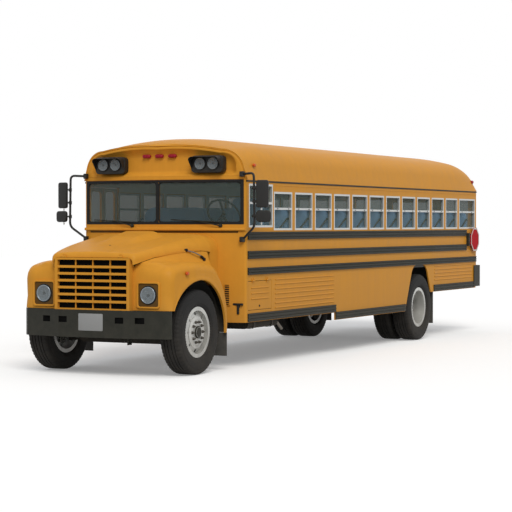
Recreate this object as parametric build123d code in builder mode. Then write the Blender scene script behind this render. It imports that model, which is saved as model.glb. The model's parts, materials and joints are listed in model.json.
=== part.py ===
from build123d import *
from math import cos, pi, sin
import os

# A conventional school bus, in millimetres.
# x points forward, y to the driver's side, z up from the ground. The origin is under the middle of the bus.

os.makedirs("parts", exist_ok=True)

# Whole vehicle
wheelbase = 7075
front_overhang = 760
rear_overhang = 2875
overall_length = front_overhang + wheelbase + rear_overhang
front_x = overall_length / 2 - front_overhang
rear_x = front_x - wheelbase
nose_x = front_x + front_overhang
tail_x = rear_x - rear_overhang
overrun = 50
face_gap = 6
seat_gap = 0.3

# Body shell
half_width = 1200
wall = 50
skirt_sheet = 20
body_setback = 1020
body_bow = 160
band = 40
body_overhang = 2705
corner_radius = 34
floor_top = 1190
floor_depth = 40
roof_top = 2970
wall_top = roof_top - 566
shoulder_y = half_width - 40
shoulder_z = roof_top - 360
crown_y = half_width - 280
crown_z = roof_top - 110
roof_wall = 40
body_x = front_x - body_setback
band_x = body_x - band
back_x = rear_x - body_overhang
back_in_x = back_x + wall
bow_x = body_x + body_bow
slab_half = half_width - skirt_sheet

# Windows along each side
window_pitch = 643
window_count = 12
first_window = 800
window_wide = 560
last_window_wide = 792
window_low = 1755
window_high = 2260
driver_window_front = 40
driver_window_wide = 690
driver_window_low = 1794
driver_window_high = 2352
sash = 26
glass_thick = 6
sash_rail = 14

# Skirts and the openings in them
front_skirt_low = 585
mid_skirt_low = 480
rear_skirt_low = 740
skirt_step_x = front_x - 3795
rear_bumper_front = rear_x - 2535
arch_low_half = 620
arch_top_half = 290
arch_radius = 230
battery_front = 50
battery_wide = 681
battery_low = 735
battery_high = 1110
door_front = 20
door_wide = 700
door_low = 460
door_high = 2326
front_arch_radius = 620
front_arch_z = 540

# Ribs pressed in the skirts
rib_out = 8
rib_half = 10
front_ribs_x = front_x - 1853
front_ribs_back = front_x - 3740
front_ribs_low = 740
front_ribs_high = 1110
front_rib_count = 7
rear_ribs_x = front_x - 7740
rear_ribs_back = front_x - 9530
rear_ribs_low = 930
rear_ribs_high = 1155
rear_rib_count = 5
louvre_inset = 90
louvre_low = 880
louvre_high = 1020
louvre_count = 3

# Frame
rail_outer = 470
rail_flange = 76
rail_web = 8
rail_low = 740
rail_depth = 254
rail_top = rail_low + rail_depth
rail_front = nose_x - 150
rail_back = back_x + 120
cross_deep = 120
cross_long = 60
cross_top = rail_top - 10
cross_places = (nose_x - 260, front_x - 1480, front_x - 2700, rear_x + 900, rear_x - 900, back_x + 260)
bearer_thick = 50
bearer_pitch = window_pitch

# Wheels
tyre_radius = 520
tyre_half = 140
tread_half = 104
shoulder_drop = 26
bead_radius = 290
bead_half = 105
flange_thick = 8
flange_height = 21
barrel_thick = 26
front_tyre_y = half_width - 255
dual_outer_y = half_width - 132
dual_spacing = 330
dual_inner_y = dual_outer_y - dual_spacing
hub_radius = 75
disc_thick = 12
disc_flat_radius = 152
front_disc_face = 107
disc_foot_drop = 52
drum_radius = 205
drum_wall = 15
hand_hole_count = 8
hand_hole_radius = 25
hand_hole_circle = 224
spindle_radius = 35
hub_bore_gap = 0.05
rear_spindle_radius = 45

# Front axle and steering
kingpin_y = half_width - 330
kingpin_radius = 20
beam_half = 45
beam_low = 360
beam_deep = 100
beam_drop_y = 560
beam_rise_y = 680
boss_radius = 45
boss_half = 55
ear_radius = 48
ear_gap = 0.5
ear_low = 400
ear_high = 640
web_gap = 5
web_thick = 35
web_half = 45
spindle_end_y = half_width - 140
arm_back = 150
arm_thick = 30
arm_half = 22
ball_radius = 26
ball_pin_radius = 10
ball_pin_drop = 50
eye_top_gap = 4
eye_height = 36
open_pin_gap = 0.5
tie_rod_radius = 16

# Springs
spring_wide = 76
front_spring_half = 540
rear_spring_half = 700
spring_pack = 70
spring_tip = 24
front_spring_rise = 190
rear_spring_rise = 150
hanger_long = 60
rear_spring_y = 515
axle_tube_radius = 65

# Rear hub and axle
rear_hub_in = -345
rear_hub_out = -10
rear_drum_in = -368
backing_y = half_width - 510
backing_thick = 10
backing_radius = 180
banjo_radius = 185
pinion_reach = 330
rear_spindle_end = dual_outer_y + rear_hub_out - 5

# Power train
engine_front = front_x + 400
engine_back = front_x - 560
engine_half = 300
engine_low = 790
engine_top = 1420
gearbox_back = front_x - 1320
gearbox_half = 180
gearbox_low = 640
gearbox_top = 930
engine_feet = (engine_front - 120, engine_back + 200)
foot_long = 80
foot_thick = 25
radiator_x = front_x + 520
radiator_thick = 60
radiator_half = 388
radiator_top = 1390
shaft_z = 740
shaft_radius = 42
tank_back = front_x - 2430
tank_long = 880
tank_in = 500
tank_out = half_width - 240
tank_low = 466
tank_top = 930
tank_round = 70
exhaust_y = 290
exhaust_z = 790
exhaust_drop = 150
exhaust_drop_x = back_x + 420
exhaust_end_x = tail_x + 60
exhaust_bend = 120
pipe_radius = 42
muffler_x = front_x - 3000
muffler_long = 900
muffler_radius = 95

# Hood
panel = 12
hood_front = front_x + 715
hood_back = front_x - 700
hood_mid_x = front_x + 300
hood_rear_mid_x = front_x - 200
hood_front_half = 585
hood_mid_half = 715
hood_rear_mid_half = 790
hood_rear_half = half_width - 343
hood_front_top = 1478
hood_mid_top = 1555
hood_rear_mid_top = 1635
hood_rear_top = 1705
hood_front_shoulder = 70
hood_mid_shoulder = 110
hood_rear_mid_shoulder = 150
hood_rear_shoulder = 190
hood_crown = 20
shoulder_bend_share = 0.7071
rise_back_x = front_x - 500
rise_back_z = 1690
rise_crest_x = front_x - 430
rise_crest_z = 1755
rise_crest_half = 215
rise_mid_x = front_x - 50
rise_mid_z = 1685
rise_mid_half = 185
rise_front_x = front_x + 420
rise_front_z = 1545
rise_front_half = 150
rise_sink = 150
rise_flare = 150
seam_front_z = 1335
seam_mid_z = 1457
seam_rear_z = 1478
seam_low = 1300
hood_hinge_y = 400
hood_hinge_z = 1442
cheek_deep = 120
cheek_gap = 10

# Grille
grille_back = front_x + 620
grille_front = front_x + 735
grille_half = 530
grille_low = 800
grille_top = 1430
grille_open_half = 490
grille_open_low = 817
grille_open_top = 1405
grille_rows = 7
grille_columns = 4
slat_high = 30
slat_deep = 27
slat_set = 4
post_wide = 14
post_deep = 18

# Front fenders
fender_front = front_x + 640
fender_tail = front_x - 674
fender_in = 530
fender_wide = half_width - 80
fender_nose_half = half_width - 170
fender_mid_half = half_width - 96
fender_low = 802
fender_nose_z = 1190
fender_shoulder_x = front_x + 500
fender_shoulder_z = 1340
fender_crown_x = front_x + 130
fender_crown_z = 1378
fender_drop_x = front_x - 350
fender_drop_z = 1340
fender_tail_mid_x = front_x - 600
fender_tail_mid_z = 1060
fender_tail_z = 480
nose_bend = 60
flange_flare = 60
headlight_y = 741
headlight_z = 988
headlight_radius = 95
bezel_half = 160
bezel_out = 15
lamp_hole_half = 138

# Bumpers
bumper_low = 467
bumper_high = 333
bumper_half = half_width - 170
bumper_flat_half = 460
bumper_corner_half = half_width - 215
bumper_corner_x = front_x + 650
bumper_end_x = front_x + 612
bumper_tip = 30
bumper_deep = 70
bumper_sheet = 8
bumper_slot_in = 400
bumper_slot_out = 660
bumper_slot_half = 60
bumper_slot_low = 645
bumper_slot_high = 718
bracket_grip = 160
bracket_thick = 12
tow_x = front_x + 640
tow_z = 430
tow_half = 45
tow_radius = 20
rear_bumper_low = 765
rear_bumper_high = 361
rear_bumper_half = half_width + 20
rear_bumper_bend = 60
rear_tow_x = tail_x + 110
rear_tow_z = 725

# Cowl and windscreen
screen_low = 1831
ledge_low = 1753
ledge_high = 1789
ledge_out = 12
neck_front = hood_back - face_gap
neck_deep = 340
neck_low = 1060
neck_foot_half = half_width - 420
screen_post = 30
screen_side = 60
screen_edge = 26
screen_set = 12

# Roof ends
roof_front = front_x - 1900
roof_back = front_x - 8900
cap_drop = 140
cap_draw = 60
tail_drop = 250
tail_draw = 90
cap_steps = 4
brow_deep = 22
brow_inset = 62
brow_low = 2452

# Doors
mid_rail_share = 0.56
entry_hinge_heights = (800, 2000)
door_sheet = 16
leaf_thick = 30
leaf_frame = 48
pane_low = 640
pane_mid = 1290
pane_radius = 55
rear_wall_low = 1000
rear_door_half = 460
rear_door_low = 1206
rear_door_high = 2296
rear_door_thick = 40
rear_pane_half = 350
rear_pane_low = 1720
rear_pane_high = 2210
rear_window_in = 570
rear_window_out = half_width - 140
rear_window_low = 1755
rear_window_high = 2260
rear_hinge_heights = (1350, 2150)
hinge_shares = (0.2, 0.8)

# Floor
well_in = half_width - 460
bearer_start = 300
bearer_count = 13
bearer_half = half_width - 80
bearer_short = 560
bearer_skip = 2
step_count = 3
step_low = 440
step_sheet = 12

# Rub rails
rail1_high = 1736
rail1_low = 1635
rail2_high = 1493
rail2_low = 1393
rail3_high = 1281
rail3_low = 1190
rail_out = 18
rail_lift = 9
rail_groove = 8
rail_land_share = 0.2
skirt_rail_high = 104
stop_rail_end = front_x - 9240
rail_end_gap = 40

# Stop sign
stop_x = front_x - 9330
stop_z = 1571
stop_stand = 50
stop_hinge_half = 60
stop_box = 70
stop_box_out = 45
stop_box_half = 110
stop_sheet = 7
stop_wide = 400
stop_gap = 50
octagon_turn = 22.5

# Mirrors
mirror_x = front_x - 920
mirror_root_x = body_x + 45
mirror_foot_y = half_width - 85
mirror_foot_half = 30
mirror_foot_deep = 65
mirror_loop = (
    (mirror_root_x, mirror_foot_y, 2470), (mirror_x, half_width + 183, 2479),
    (mirror_x, half_width + 191, 1807),
    (mirror_root_x, mirror_foot_y, 1642),
)
mirror_bend = 60
tube_radius = 12
mirror_deep = 50
mirror_in = half_width + 200
mirror_out = half_width + 375
mirror_low = 2045
mirror_high = 2390
convex_in = half_width + 200
convex_out = half_width + 400
convex_low = 1862
convex_high = 2010

# Lamps
pod_x = front_x - 900
pod_deep = 60
rear_pod_deep = 70
pod_in = 492
pod_out = half_width - 259
pod_low = roof_top - 480
pod_high = roof_top - 260
rear_pod_drop = 20
pod_lamp_shares = (0.3, 0.7)
pod_lamp_radius = 75
lamp_out = 12
tail_lamp_y = half_width - 300
tail_lamp_z = 1560
tail_lamp_radius = 90
signal_lamp_z = 1340
signal_lamp_radius = 60

# Seats and the driver's place
seat_rows = 11
first_seat = 1560
seat_pitch = window_pitch
seat_deep = 400
seat_high = 430
cushion_thick = 110
seat_back_high = 960
seat_lean = 50
back_thick = 60
seat_leg = 30
seat_in = 160
seat_out = half_width - 55
driver_x = front_x - 1800
driver_y = 600
driver_half = 250
driver_top = 1640
driver_back_high = 560
pedestal_half = 130
dash_deep = 240
dash_half = half_width - 55
dash_low = 1420
dash_high = 1800
steering_centre = (front_x - 1560, driver_y, 1960)
steering_radius = 230
steering_rim = 14
column_radius = 30
flap_set = 2
flap_thick = 8
flap_in = half_width - 340
flap_low = 185
rear_flap_gap = 30
rear_flap_in = 620
rear_flap_low = 230
shaft_end_gap = 2

# Helpers


def block(x0, x1, y0, y1, z0, z1, mode=Mode.ADD):
    with Locations(((x0 + x1) / 2, (y0 + y1) / 2, (z0 + z1) / 2)):
        Box(abs(x1 - x0), abs(y1 - y0), abs(z1 - z0), mode=mode)


def pair_block(x0, x1, y0, y1, z0, z1, mode=Mode.ADD):
    for side in (1, -1):
        block(x0, x1, side * y0, side * y1, z0, z1, mode)


def rod(start, end, radius, mode=Mode.ADD):
    run = Vector(*end) - Vector(*start)
    with Locations(Plane(origin=start, z_dir=run)):
        Cylinder(radius, run.length, align=(Align.CENTER, Align.CENTER, Align.MIN), mode=mode)


def plate(plane, points, depth, mode=Mode.ADD, radius=0, corners=()):
    # A polygon on a plane, with some corners rounded, pulled out by depth.
    with BuildSketch(plane) as outline:
        with BuildLine():
            Polyline(*points, close=True)
        make_face()
        if radius:
            picked = [
                v for v in outline.vertices()
                if any((v.X - points[i][0]) ** 2 + (v.Y - points[i][1]) ** 2 < seat_gap
                       for i in corners)
            ] if corners else outline.vertices()
            fillet(picked, radius)
    extrude(outline.sketch, amount=depth, mode=mode)


def finish(piece, name):
    piece.part.label = name
    export_step(piece.part, f"parts/{name}.step")


def side_plane(y):
    # Local x runs forward and local y up; it pulls out towards minus y.
    return Plane(origin=(0, y, 0), x_dir=(1, 0, 0), z_dir=(0, -1, 0))


def cross_plane(x):
    # Local x runs to the driver's side and local y up; it pulls out forwards.
    return Plane(origin=(x, 0, 0), x_dir=(0, 1, 0), z_dir=(1, 0, 0))


# Hinge: a pin on the fixed side and a barrel on the leaf
pin_radius = 5
pin_gap = 0.05
barrel_radius = 10
barrel_long = 40
ring_long = 12
ring_gap = 1
hinge_stand = 12
lug_thick = 7
lug_reach = 34


def hinge_leaf(plane):
    # Local z is the pin, local x points to the leaf and local y outwards.
    with Locations(plane):
        Cylinder(barrel_radius, barrel_long)
        with Locations((lug_reach / 2, lug_thick / 2 - hinge_stand, 0)):
            Box(lug_reach, lug_thick, barrel_long)
        Cylinder(pin_radius + pin_gap, barrel_long + overrun, mode=Mode.SUBTRACT)


def hinge_pin(plane):
    reach = barrel_long / 2 + ring_gap + ring_long / 2
    with Locations(plane):
        Cylinder(pin_radius, barrel_long + 2 * (ring_gap + ring_long))
        with Locations((0, 0, reach), (0, 0, -reach)):
            Cylinder(barrel_radius, ring_long)
            with Locations((-lug_reach / 2, lug_thick / 2 - hinge_stand, 0)):
                Box(lug_reach, lug_thick, ring_long)


# Frame rails with their cross members
with BuildPart() as frame_rails:
    for side in (1, -1):
        web_in = rail_outer - rail_web
        block(rail_back, rail_front, side * web_in, side * rail_outer, rail_low, rail_top)
        for z in (rail_low, rail_top - rail_web):
            block(rail_back, rail_front, side * (rail_outer - rail_flange), side * web_in, z, z + rail_web)
    for x in cross_places:
        block(x - cross_long, x, -web_in, web_in, cross_top - cross_deep, cross_top)
finish(frame_rails, "frame_rails")

# Front axle beam with its kingpins
with BuildPart() as front_axle:
    hub_z = tyre_radius
    boss_low = hub_z - boss_half
    boss_high = hub_z + boss_half
    beam_top = beam_low + beam_deep
    for side in (1, -1):
        half_beam = [
            (0, beam_low), (side * beam_drop_y, beam_low), (side * beam_rise_y, boss_low),
            (side * kingpin_y, boss_low), (side * kingpin_y, boss_high),
            (side * (beam_rise_y - beam_half), boss_high), (side * (beam_drop_y - beam_half), beam_top),
            (0, beam_top),
        ]
        plate(cross_plane(front_x - beam_half), half_beam, 2 * beam_half)
        rod((front_x, side * kingpin_y, boss_low), (front_x, side * kingpin_y, boss_high), boss_radius)
        rod((front_x, side * kingpin_y, ear_low), (front_x, side * kingpin_y, ear_high), kingpin_radius)
finish(front_axle, "front_axle")


def build_knuckle(side):
    with BuildPart() as knuckle:
        pin_x = front_x
        pin_y = side * kingpin_y
        web_in = side * (kingpin_y + boss_radius + web_gap)
        web_out = web_in + side * web_thick
        block(pin_x - web_half, pin_x + web_half, web_in, web_out, ear_low, ear_high)
        for low, high in ((ear_low, boss_low - ear_gap), (boss_high + ear_gap, ear_high)):
            rod((pin_x, pin_y, low), (pin_x, pin_y, high), ear_radius)
            block(pin_x - web_half, pin_x + web_half, pin_y, web_out, low, high)
        rod((pin_x, web_out - side * web_gap, hub_z), (pin_x, side * spindle_end_y, hub_z), spindle_radius)
        ball_x = pin_x - arm_back
        block(ball_x, pin_x, pin_y - arm_half, pin_y + arm_half, ear_low, ear_low + arm_thick)
        rod((ball_x, pin_y, ear_low), (ball_x, pin_y, ear_low + arm_thick), ball_radius)
        rod((ball_x, pin_y, ear_low - ball_pin_drop), (ball_x, pin_y, ear_low), ball_pin_radius)
        rod((pin_x, pin_y, ear_low - overrun), (pin_x, pin_y, ear_high + overrun),
            kingpin_radius + hub_bore_gap, Mode.SUBTRACT)
    return knuckle


for side, name in ((1, "knuckle_left"), (-1, "knuckle_right")):
    finish(build_knuckle(side), name)

# Tie rod behind the axle
with BuildPart() as tie_rod:
    ball_x = front_x - arm_back
    eye_top = ear_low - eye_top_gap
    rod_z = eye_top - eye_height / 2
    rod((ball_x, -kingpin_y, rod_z), (ball_x, kingpin_y, rod_z), tie_rod_radius)
    for side, gap in ((1, pin_gap), (-1, open_pin_gap)):
        ball_y = side * kingpin_y
        rod((ball_x, ball_y, eye_top - eye_height), (ball_x, ball_y, eye_top), ball_radius)
        rod((ball_x, ball_y, eye_top - eye_height - overrun), (ball_x, ball_y, eye_top + overrun),
            ball_pin_radius + gap, Mode.SUBTRACT)
finish(tie_rod, "tie_rod")


def wheel_plane(axle_x, y, side):
    # Local x runs outwards along the axle, local y is the radius.
    return Plane(origin=(axle_x, y, tyre_radius), x_dir=(0, side, 0), z_dir=(side, 0, 0))


def build_tyre(axle_x, places, side):
    with BuildPart() as tyre:
        for y in places:
            foot = bead_radius + flange_height + seat_gap
            belt = tyre_radius - shoulder_drop
            with BuildSketch(wheel_plane(axle_x, side * y, side)) as section:
                with BuildLine():
                    Polyline((-bead_half, foot), (-bead_half, bead_radius), (bead_half, bead_radius),
                             (bead_half, foot))
                    ThreePointArc((bead_half, foot), (tyre_half, (foot + belt) / 2),
                                  (tyre_half - shoulder_drop / 2, belt))
                    Polyline((tyre_half - shoulder_drop / 2, belt), (tread_half, tyre_radius),
                             (-tread_half, tyre_radius),
                             (shoulder_drop / 2 - tyre_half, belt))
                    ThreePointArc((shoulder_drop / 2 - tyre_half, belt), (-tyre_half, (foot + belt) / 2),
                                  (-bead_half, foot))
                make_face()
            revolve(section.sketch, axis=Axis((axle_x, side * y, tyre_radius), (0, 1, 0)))
    return tyre


def ring(v0, v1, u0, u1):
    with Locations(((v0 + v1) / 2, (u0 + u1) / 2)):
        Rectangle(abs(v1 - v0), abs(u1 - u0))


def rim(face, way):
    # Half section of a rim in (along the axle, radius): barrel, two flanges and a disc dished towards way.
    ring(-bead_half, bead_half, bead_radius - barrel_thick, bead_radius)
    for v in (bead_half, -bead_half - flange_thick):
        ring(v, v + flange_thick, bead_radius - barrel_thick, bead_radius + flange_height)
    foot_r = bead_radius - barrel_thick / 2
    foot = face - way * disc_foot_drop
    back = face - way * disc_thick
    with BuildLine() as dish:
        Polyline((foot, foot_r), (foot - way * disc_thick, foot_r), (back, disc_flat_radius),
                 (back, hub_radius),
                 (face, hub_radius), (face, disc_flat_radius), close=True)
    make_face(dish.edges())


def hand_holes(axle_x, y, side):
    with Locations(Plane(origin=(axle_x, y, tyre_radius), x_dir=(1, 0, 0), z_dir=(0, side, 0))):
        with PolarLocations(hand_hole_circle, hand_hole_count):
            Cylinder(hand_hole_radius, 2 * bead_half, mode=Mode.SUBTRACT)


def build_front_wheel(side):
    y = side * front_tyre_y
    hub_in = kingpin_y + boss_radius + web_gap + web_thick + web_gap - front_tyre_y
    hub_end = spindle_end_y - front_tyre_y + web_gap
    disc_back = front_disc_face - disc_thick
    with BuildPart() as wheel:
        with BuildSketch(wheel_plane(front_x, y, side)) as section:
            rim(front_disc_face, 1)
        revolve(section.sketch, axis=Axis((front_x, y, tyre_radius), (0, 1, 0)))
        hand_holes(front_x, y, side)
        with BuildSketch(wheel_plane(front_x, y, side)) as section:
            ring(hub_in, hub_end, spindle_radius + hub_bore_gap, hub_radius)
            ring(hub_end, hub_end + disc_thick, 0, hub_radius - disc_thick)
            ring(hub_in, disc_back - disc_thick, drum_radius - drum_wall, drum_radius)
            ring(disc_back - disc_thick, disc_back, hub_radius - disc_thick, drum_radius - drum_wall / 2)
        revolve(section.sketch, axis=Axis((front_x, y, tyre_radius), (0, 1, 0)))
    return wheel


def build_rear_wheels(side):
    outer_y = side * dual_outer_y
    inner_y = side * dual_inner_y
    half_space = dual_spacing / 2
    with BuildPart() as wheels:
        for y, face, way in ((outer_y, -half_space + disc_thick, -1), (inner_y, half_space, 1)):
            with BuildSketch(wheel_plane(rear_x, y, side)) as section:
                rim(face if way > 0 else -half_space, way)
            revolve(section.sketch, axis=Axis((rear_x, y, tyre_radius), (0, 1, 0)))
            hand_holes(rear_x, y, side)
        with BuildSketch(wheel_plane(rear_x, outer_y, side)) as section:
            ring(rear_hub_in, rear_hub_out, rear_spindle_radius + hub_bore_gap, hub_radius)
            ring(rear_hub_out, rear_hub_out + disc_thick, 0, hub_radius - disc_thick)
            ring(rear_drum_in, -half_space - disc_thick, drum_radius - drum_wall, drum_radius)
            ring(-half_space - 2 * disc_thick, -half_space - disc_thick, hub_radius - disc_thick,
                 drum_radius - disc_thick)
        revolve(section.sketch, axis=Axis((rear_x, outer_y, tyre_radius), (0, 1, 0)))
    return wheels


for side, name in ((1, "left"), (-1, "right")):
    finish(build_tyre(front_x, (front_tyre_y,), side), f"tyre_front_{name}")
    finish(build_front_wheel(side), f"wheel_front_{name}")
    finish(build_tyre(rear_x, (dual_inner_y, dual_outer_y), side), f"tyres_rear_{name}")
    finish(build_rear_wheels(side), f"wheels_rear_{name}")

# Rear axle: tube, banjo housing, backing plates and spindles
with BuildPart() as rear_axle:
    rod((rear_x, -backing_y, hub_z), (rear_x, backing_y, hub_z), axle_tube_radius)
    for side in (1, -1):
        rod((rear_x, side * backing_y, hub_z), (rear_x, side * rear_spindle_end, hub_z),
            rear_spindle_radius)
        rod((rear_x, side * (backing_y - backing_thick), hub_z), (rear_x, side * backing_y, hub_z),
            backing_radius)
    with Locations((rear_x, 0, hub_z)):
        Sphere(banjo_radius)
    rod((rear_x, 0, hub_z), (rear_x + pinion_reach, 0, hub_z), axle_tube_radius)
finish(rear_axle, "rear_axle")

# Leaf springs with their hangers
with BuildPart() as leaf_springs:
    springs = (
        # axle, side position, half length, seat height, rise of the ends
        (front_x, rail_outer - spring_wide / 2, front_spring_half, beam_low + beam_deep, front_spring_rise),
        (rear_x, rear_spring_y, rear_spring_half, hub_z + axle_tube_radius, rear_spring_rise),
    )
    for axle_x, y, half, seat_z, rise in springs:
        for side in (1, -1):
            with BuildSketch(side_plane(side * y + spring_wide / 2)) as leaf:
                with BuildLine():
                    ThreePointArc((axle_x - half, seat_z + rise), (axle_x, seat_z),
                                  (axle_x + half, seat_z + rise))
                    Line((axle_x + half, seat_z + rise), (axle_x + half, seat_z + rise + spring_tip))
                    ThreePointArc((axle_x + half, seat_z + rise + spring_tip),
                                  (axle_x, seat_z + spring_pack),
                                  (axle_x - half, seat_z + rise + spring_tip))
                    Line((axle_x - half, seat_z + rise + spring_tip), (axle_x - half, seat_z + rise))
                make_face()
            extrude(leaf.sketch, amount=spring_wide)
            for end in (1, -1):
                tip_x = axle_x + end * half
                low = seat_z + rise
                high = rail_low if y < rail_outer else rail_low + hanger_long
                inner = min(y - spring_wide / 2, rail_outer)
                block(tip_x - hanger_long / 2, tip_x + hanger_long / 2, side * inner,
                      side * (y + spring_wide / 2), low, high)
finish(leaf_springs, "leaf_springs")

# Engine with its gearbox, radiator and propeller shaft
with BuildPart() as engine:
    block(engine_back, engine_front, -engine_half, engine_half, engine_low, engine_top)
    block(gearbox_back, engine_back, -gearbox_half, gearbox_half, gearbox_low, gearbox_top)
    for x in engine_feet:
        pair_block(x - foot_long, x, engine_half, rail_outer, rail_top, rail_top + foot_thick)
finish(engine, "engine")

with BuildPart() as radiator:
    block(radiator_x - radiator_thick, radiator_x, -radiator_half, radiator_half, cross_top, radiator_top)
finish(radiator, "radiator")

with BuildPart() as drive_shaft:
    rod((gearbox_back - shaft_end_gap, 0, shaft_z), (rear_x + pinion_reach + shaft_end_gap, 0, hub_z),
        shaft_radius)
finish(drive_shaft, "drive_shaft")

# Fuel tank on the driver's side, hung from the rail
with BuildPart() as fuel_tank:
    with BuildSketch(cross_plane(tank_back)) as section:
        with Locations(((tank_in + tank_out) / 2, (tank_low + tank_top) / 2)):
            RectangleRounded(tank_out - tank_in, tank_top - tank_low, tank_round)
    extrude(section.sketch, amount=tank_long)
    for x in (tank_back + hanger_long, tank_back + tank_long - 2 * hanger_long):
        block(x, x + hanger_long, rail_outer, tank_in + tank_round, tank_top - 2 * tank_round,
              tank_top - tank_round)
finish(fuel_tank, "fuel_tank")

# Exhaust along the inside of the right rail
with BuildPart() as exhaust:
    with BuildLine() as run:
        FilletPolyline((gearbox_back + overrun, -exhaust_y, exhaust_z),
                       (exhaust_drop_x, -exhaust_y, exhaust_z),
                       (exhaust_drop_x - exhaust_drop, -exhaust_y, exhaust_z - exhaust_drop),
                       (exhaust_end_x, -exhaust_y, exhaust_z - exhaust_drop), radius=exhaust_bend)
    with BuildSketch(Plane(origin=run.line @ 0, z_dir=run.line % 0)) as section:
        Circle(pipe_radius)
    sweep(section.sketch, path=run.line)
    rod((muffler_x, -exhaust_y, exhaust_z), (muffler_x - muffler_long, -exhaust_y, exhaust_z),
        muffler_radius)
    for x in cross_places[1:-1]:
        block(x - cross_long, x, -exhaust_y - rail_web, rail_web - exhaust_y, exhaust_z,
              cross_top - cross_deep)
finish(exhaust, "exhaust")


def bowed(x_side, low, high, mode=Mode.ADD, back=None):
    # Everything ahead of the bowed front line through (x_side, half_width), or the band between it and back.
    with BuildSketch(Plane.XY.offset(low)) as region:
        with BuildLine():
            ThreePointArc((x_side, half_width), (x_side + body_bow, 0), (x_side, -half_width))
            if back is None:
                far_y = half_width + wall
                Polyline((x_side, -half_width), (x_side, -far_y), (nose_x, -far_y), (nose_x, far_y),
                         (x_side, far_y),
                         (x_side, half_width))
            else:
                Line((x_side, -half_width), (back, -half_width))
                ThreePointArc((back, -half_width), (back + body_bow, 0), (back, half_width))
                Line((back, half_width), (x_side, half_width))
        make_face()
    extrude(region.sketch, amount=high - low, mode=mode)


def hood_section(x, half, top, shoulder, low):
    # A flat bottom, upright sides, round shoulders and a lightly crowned top.
    soft = shoulder * (1 - shoulder_bend_share)
    with BuildSketch(cross_plane(x)) as section:
        with BuildLine():
            Polyline((half, top - shoulder), (half, low), (-half, low), (-half, top - shoulder))
            ThreePointArc((-half, top - shoulder), (soft - half, top - soft), (shoulder - half, top))
            ThreePointArc((shoulder - half, top), (0, top + hood_crown), (half - shoulder, top))
            ThreePointArc((half - shoulder, top), (half - soft, top - soft), (half, top - shoulder))
        make_face()
    return section.sketch


def hood_stations(inset, front, back):
    # x, half width, top, shoulder: the hood's four sections, drawn in by inset.
    return [
        (front, hood_front_half - inset, hood_front_top - inset, hood_front_shoulder - inset),
        (hood_mid_x, hood_mid_half - inset, hood_mid_top - inset, hood_mid_shoulder - inset),
        (hood_rear_mid_x, hood_rear_mid_half - inset, hood_rear_mid_top - inset,
         hood_rear_mid_shoulder - inset),
        (back, hood_rear_half - inset, hood_rear_top - inset, hood_rear_shoulder - inset),
    ]


def below_seam(gap, mode, side_reach):
    # The seam between hood and fenders, in side view.
    with BuildSketch(side_plane(side_reach)) as region:
        with BuildLine():
            ThreePointArc((nose_x, seam_front_z - gap), (hood_mid_x, seam_mid_z - gap),
                          (hood_back - overrun, seam_rear_z - gap))
            Polyline((hood_back - overrun, seam_rear_z - gap), (hood_back - overrun, seam_low),
                     (nose_x, seam_low),
                     (nose_x, seam_front_z - gap))
        make_face()
    extrude(region.sketch, amount=2 * side_reach, mode=mode)


def beads(front, back, side, low, high, count):
    # Round beads along x on a side wall, evenly spaced from low to high.
    for i in range(count):
        z = low + i * (high - low) / (count - 1)
        with BuildSketch(cross_plane(back)) as bead:
            with BuildLine():
                ThreePointArc((side * half_width, z - rib_half), (side * (half_width + rib_out), z),
                              (side * half_width, z + rib_half))
                Polyline((side * half_width, z + rib_half), (side * (half_width - skirt_sheet / 2), z),
                         (side * half_width, z - rib_half))
            make_face()
        extrude(bead.sketch, amount=front - back)


# Hood
hood_hinge_planes = [
    Plane(origin=(hood_front + hinge_stand, side * hood_hinge_y, hood_hinge_z), x_dir=(0, 0, 1),
          z_dir=(0, 1, 0))
    for side in (1, -1)
]
with BuildPart() as hood_hollow:
    for x, half, top, shoulder in hood_stations(panel, hood_front - panel, hood_back - overrun):
        add(hood_section(x, half, top, shoulder, seam_low - overrun))
    loft()
with BuildPart() as hood:
    for x, half, top, shoulder in hood_stations(0, hood_front, hood_back):
        add(hood_section(x, half, top, shoulder, seam_low))
    loft()
    for x, half, top in (
        (rise_back_x, rise_crest_half, rise_back_z), (rise_crest_x, rise_crest_half, rise_crest_z),
        (rise_mid_x, rise_mid_half, rise_mid_z), (rise_front_x, rise_front_half, rise_front_z),
    ):
        foot = half + rise_flare
        with BuildSketch(cross_plane(x)) as section:
            with BuildLine():
                Polyline((-foot, top - rise_sink), (-half, top), (half, top), (foot, top - rise_sink),
                         close=True)
            make_face()
    loft(ruled=True)
    add(hood_hollow.part, mode=Mode.SUBTRACT)
    below_seam(0, Mode.SUBTRACT, half_width)
    block(hood_front - cheek_deep, nose_x, -grille_half - cheek_gap, grille_half + cheek_gap, seam_low,
          hood_hinge_z,
          Mode.SUBTRACT)
    for plane in hood_hinge_planes:
        hinge_leaf(plane)
finish(hood, "hood")

# Grille
with BuildPart() as grille:
    block(grille_back, grille_front, -grille_half, grille_half, grille_low, grille_top)
    block(grille_back, grille_front, -grille_open_half, grille_open_half, grille_open_low, grille_open_top,
          Mode.SUBTRACT)
    row_pitch = (grille_open_top - grille_open_low) / grille_rows
    for i in range(1, grille_rows):
        z = grille_open_low + i * row_pitch
        block(grille_front - slat_deep, grille_front - slat_set, -grille_open_half, grille_open_half,
              z - slat_high / 2, z + slat_high / 2)
    column_pitch = 2 * grille_open_half / grille_columns
    post_back = grille_front - slat_deep - post_deep
    for i in range(1, grille_columns):
        y = i * column_pitch - grille_open_half
        block(post_back, grille_front - slat_deep, y - post_wide / 2, y + post_wide / 2, grille_open_low,
              grille_open_top)
    for plane in hood_hinge_planes:
        hinge_pin(plane)
finish(grille, "grille")


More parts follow.
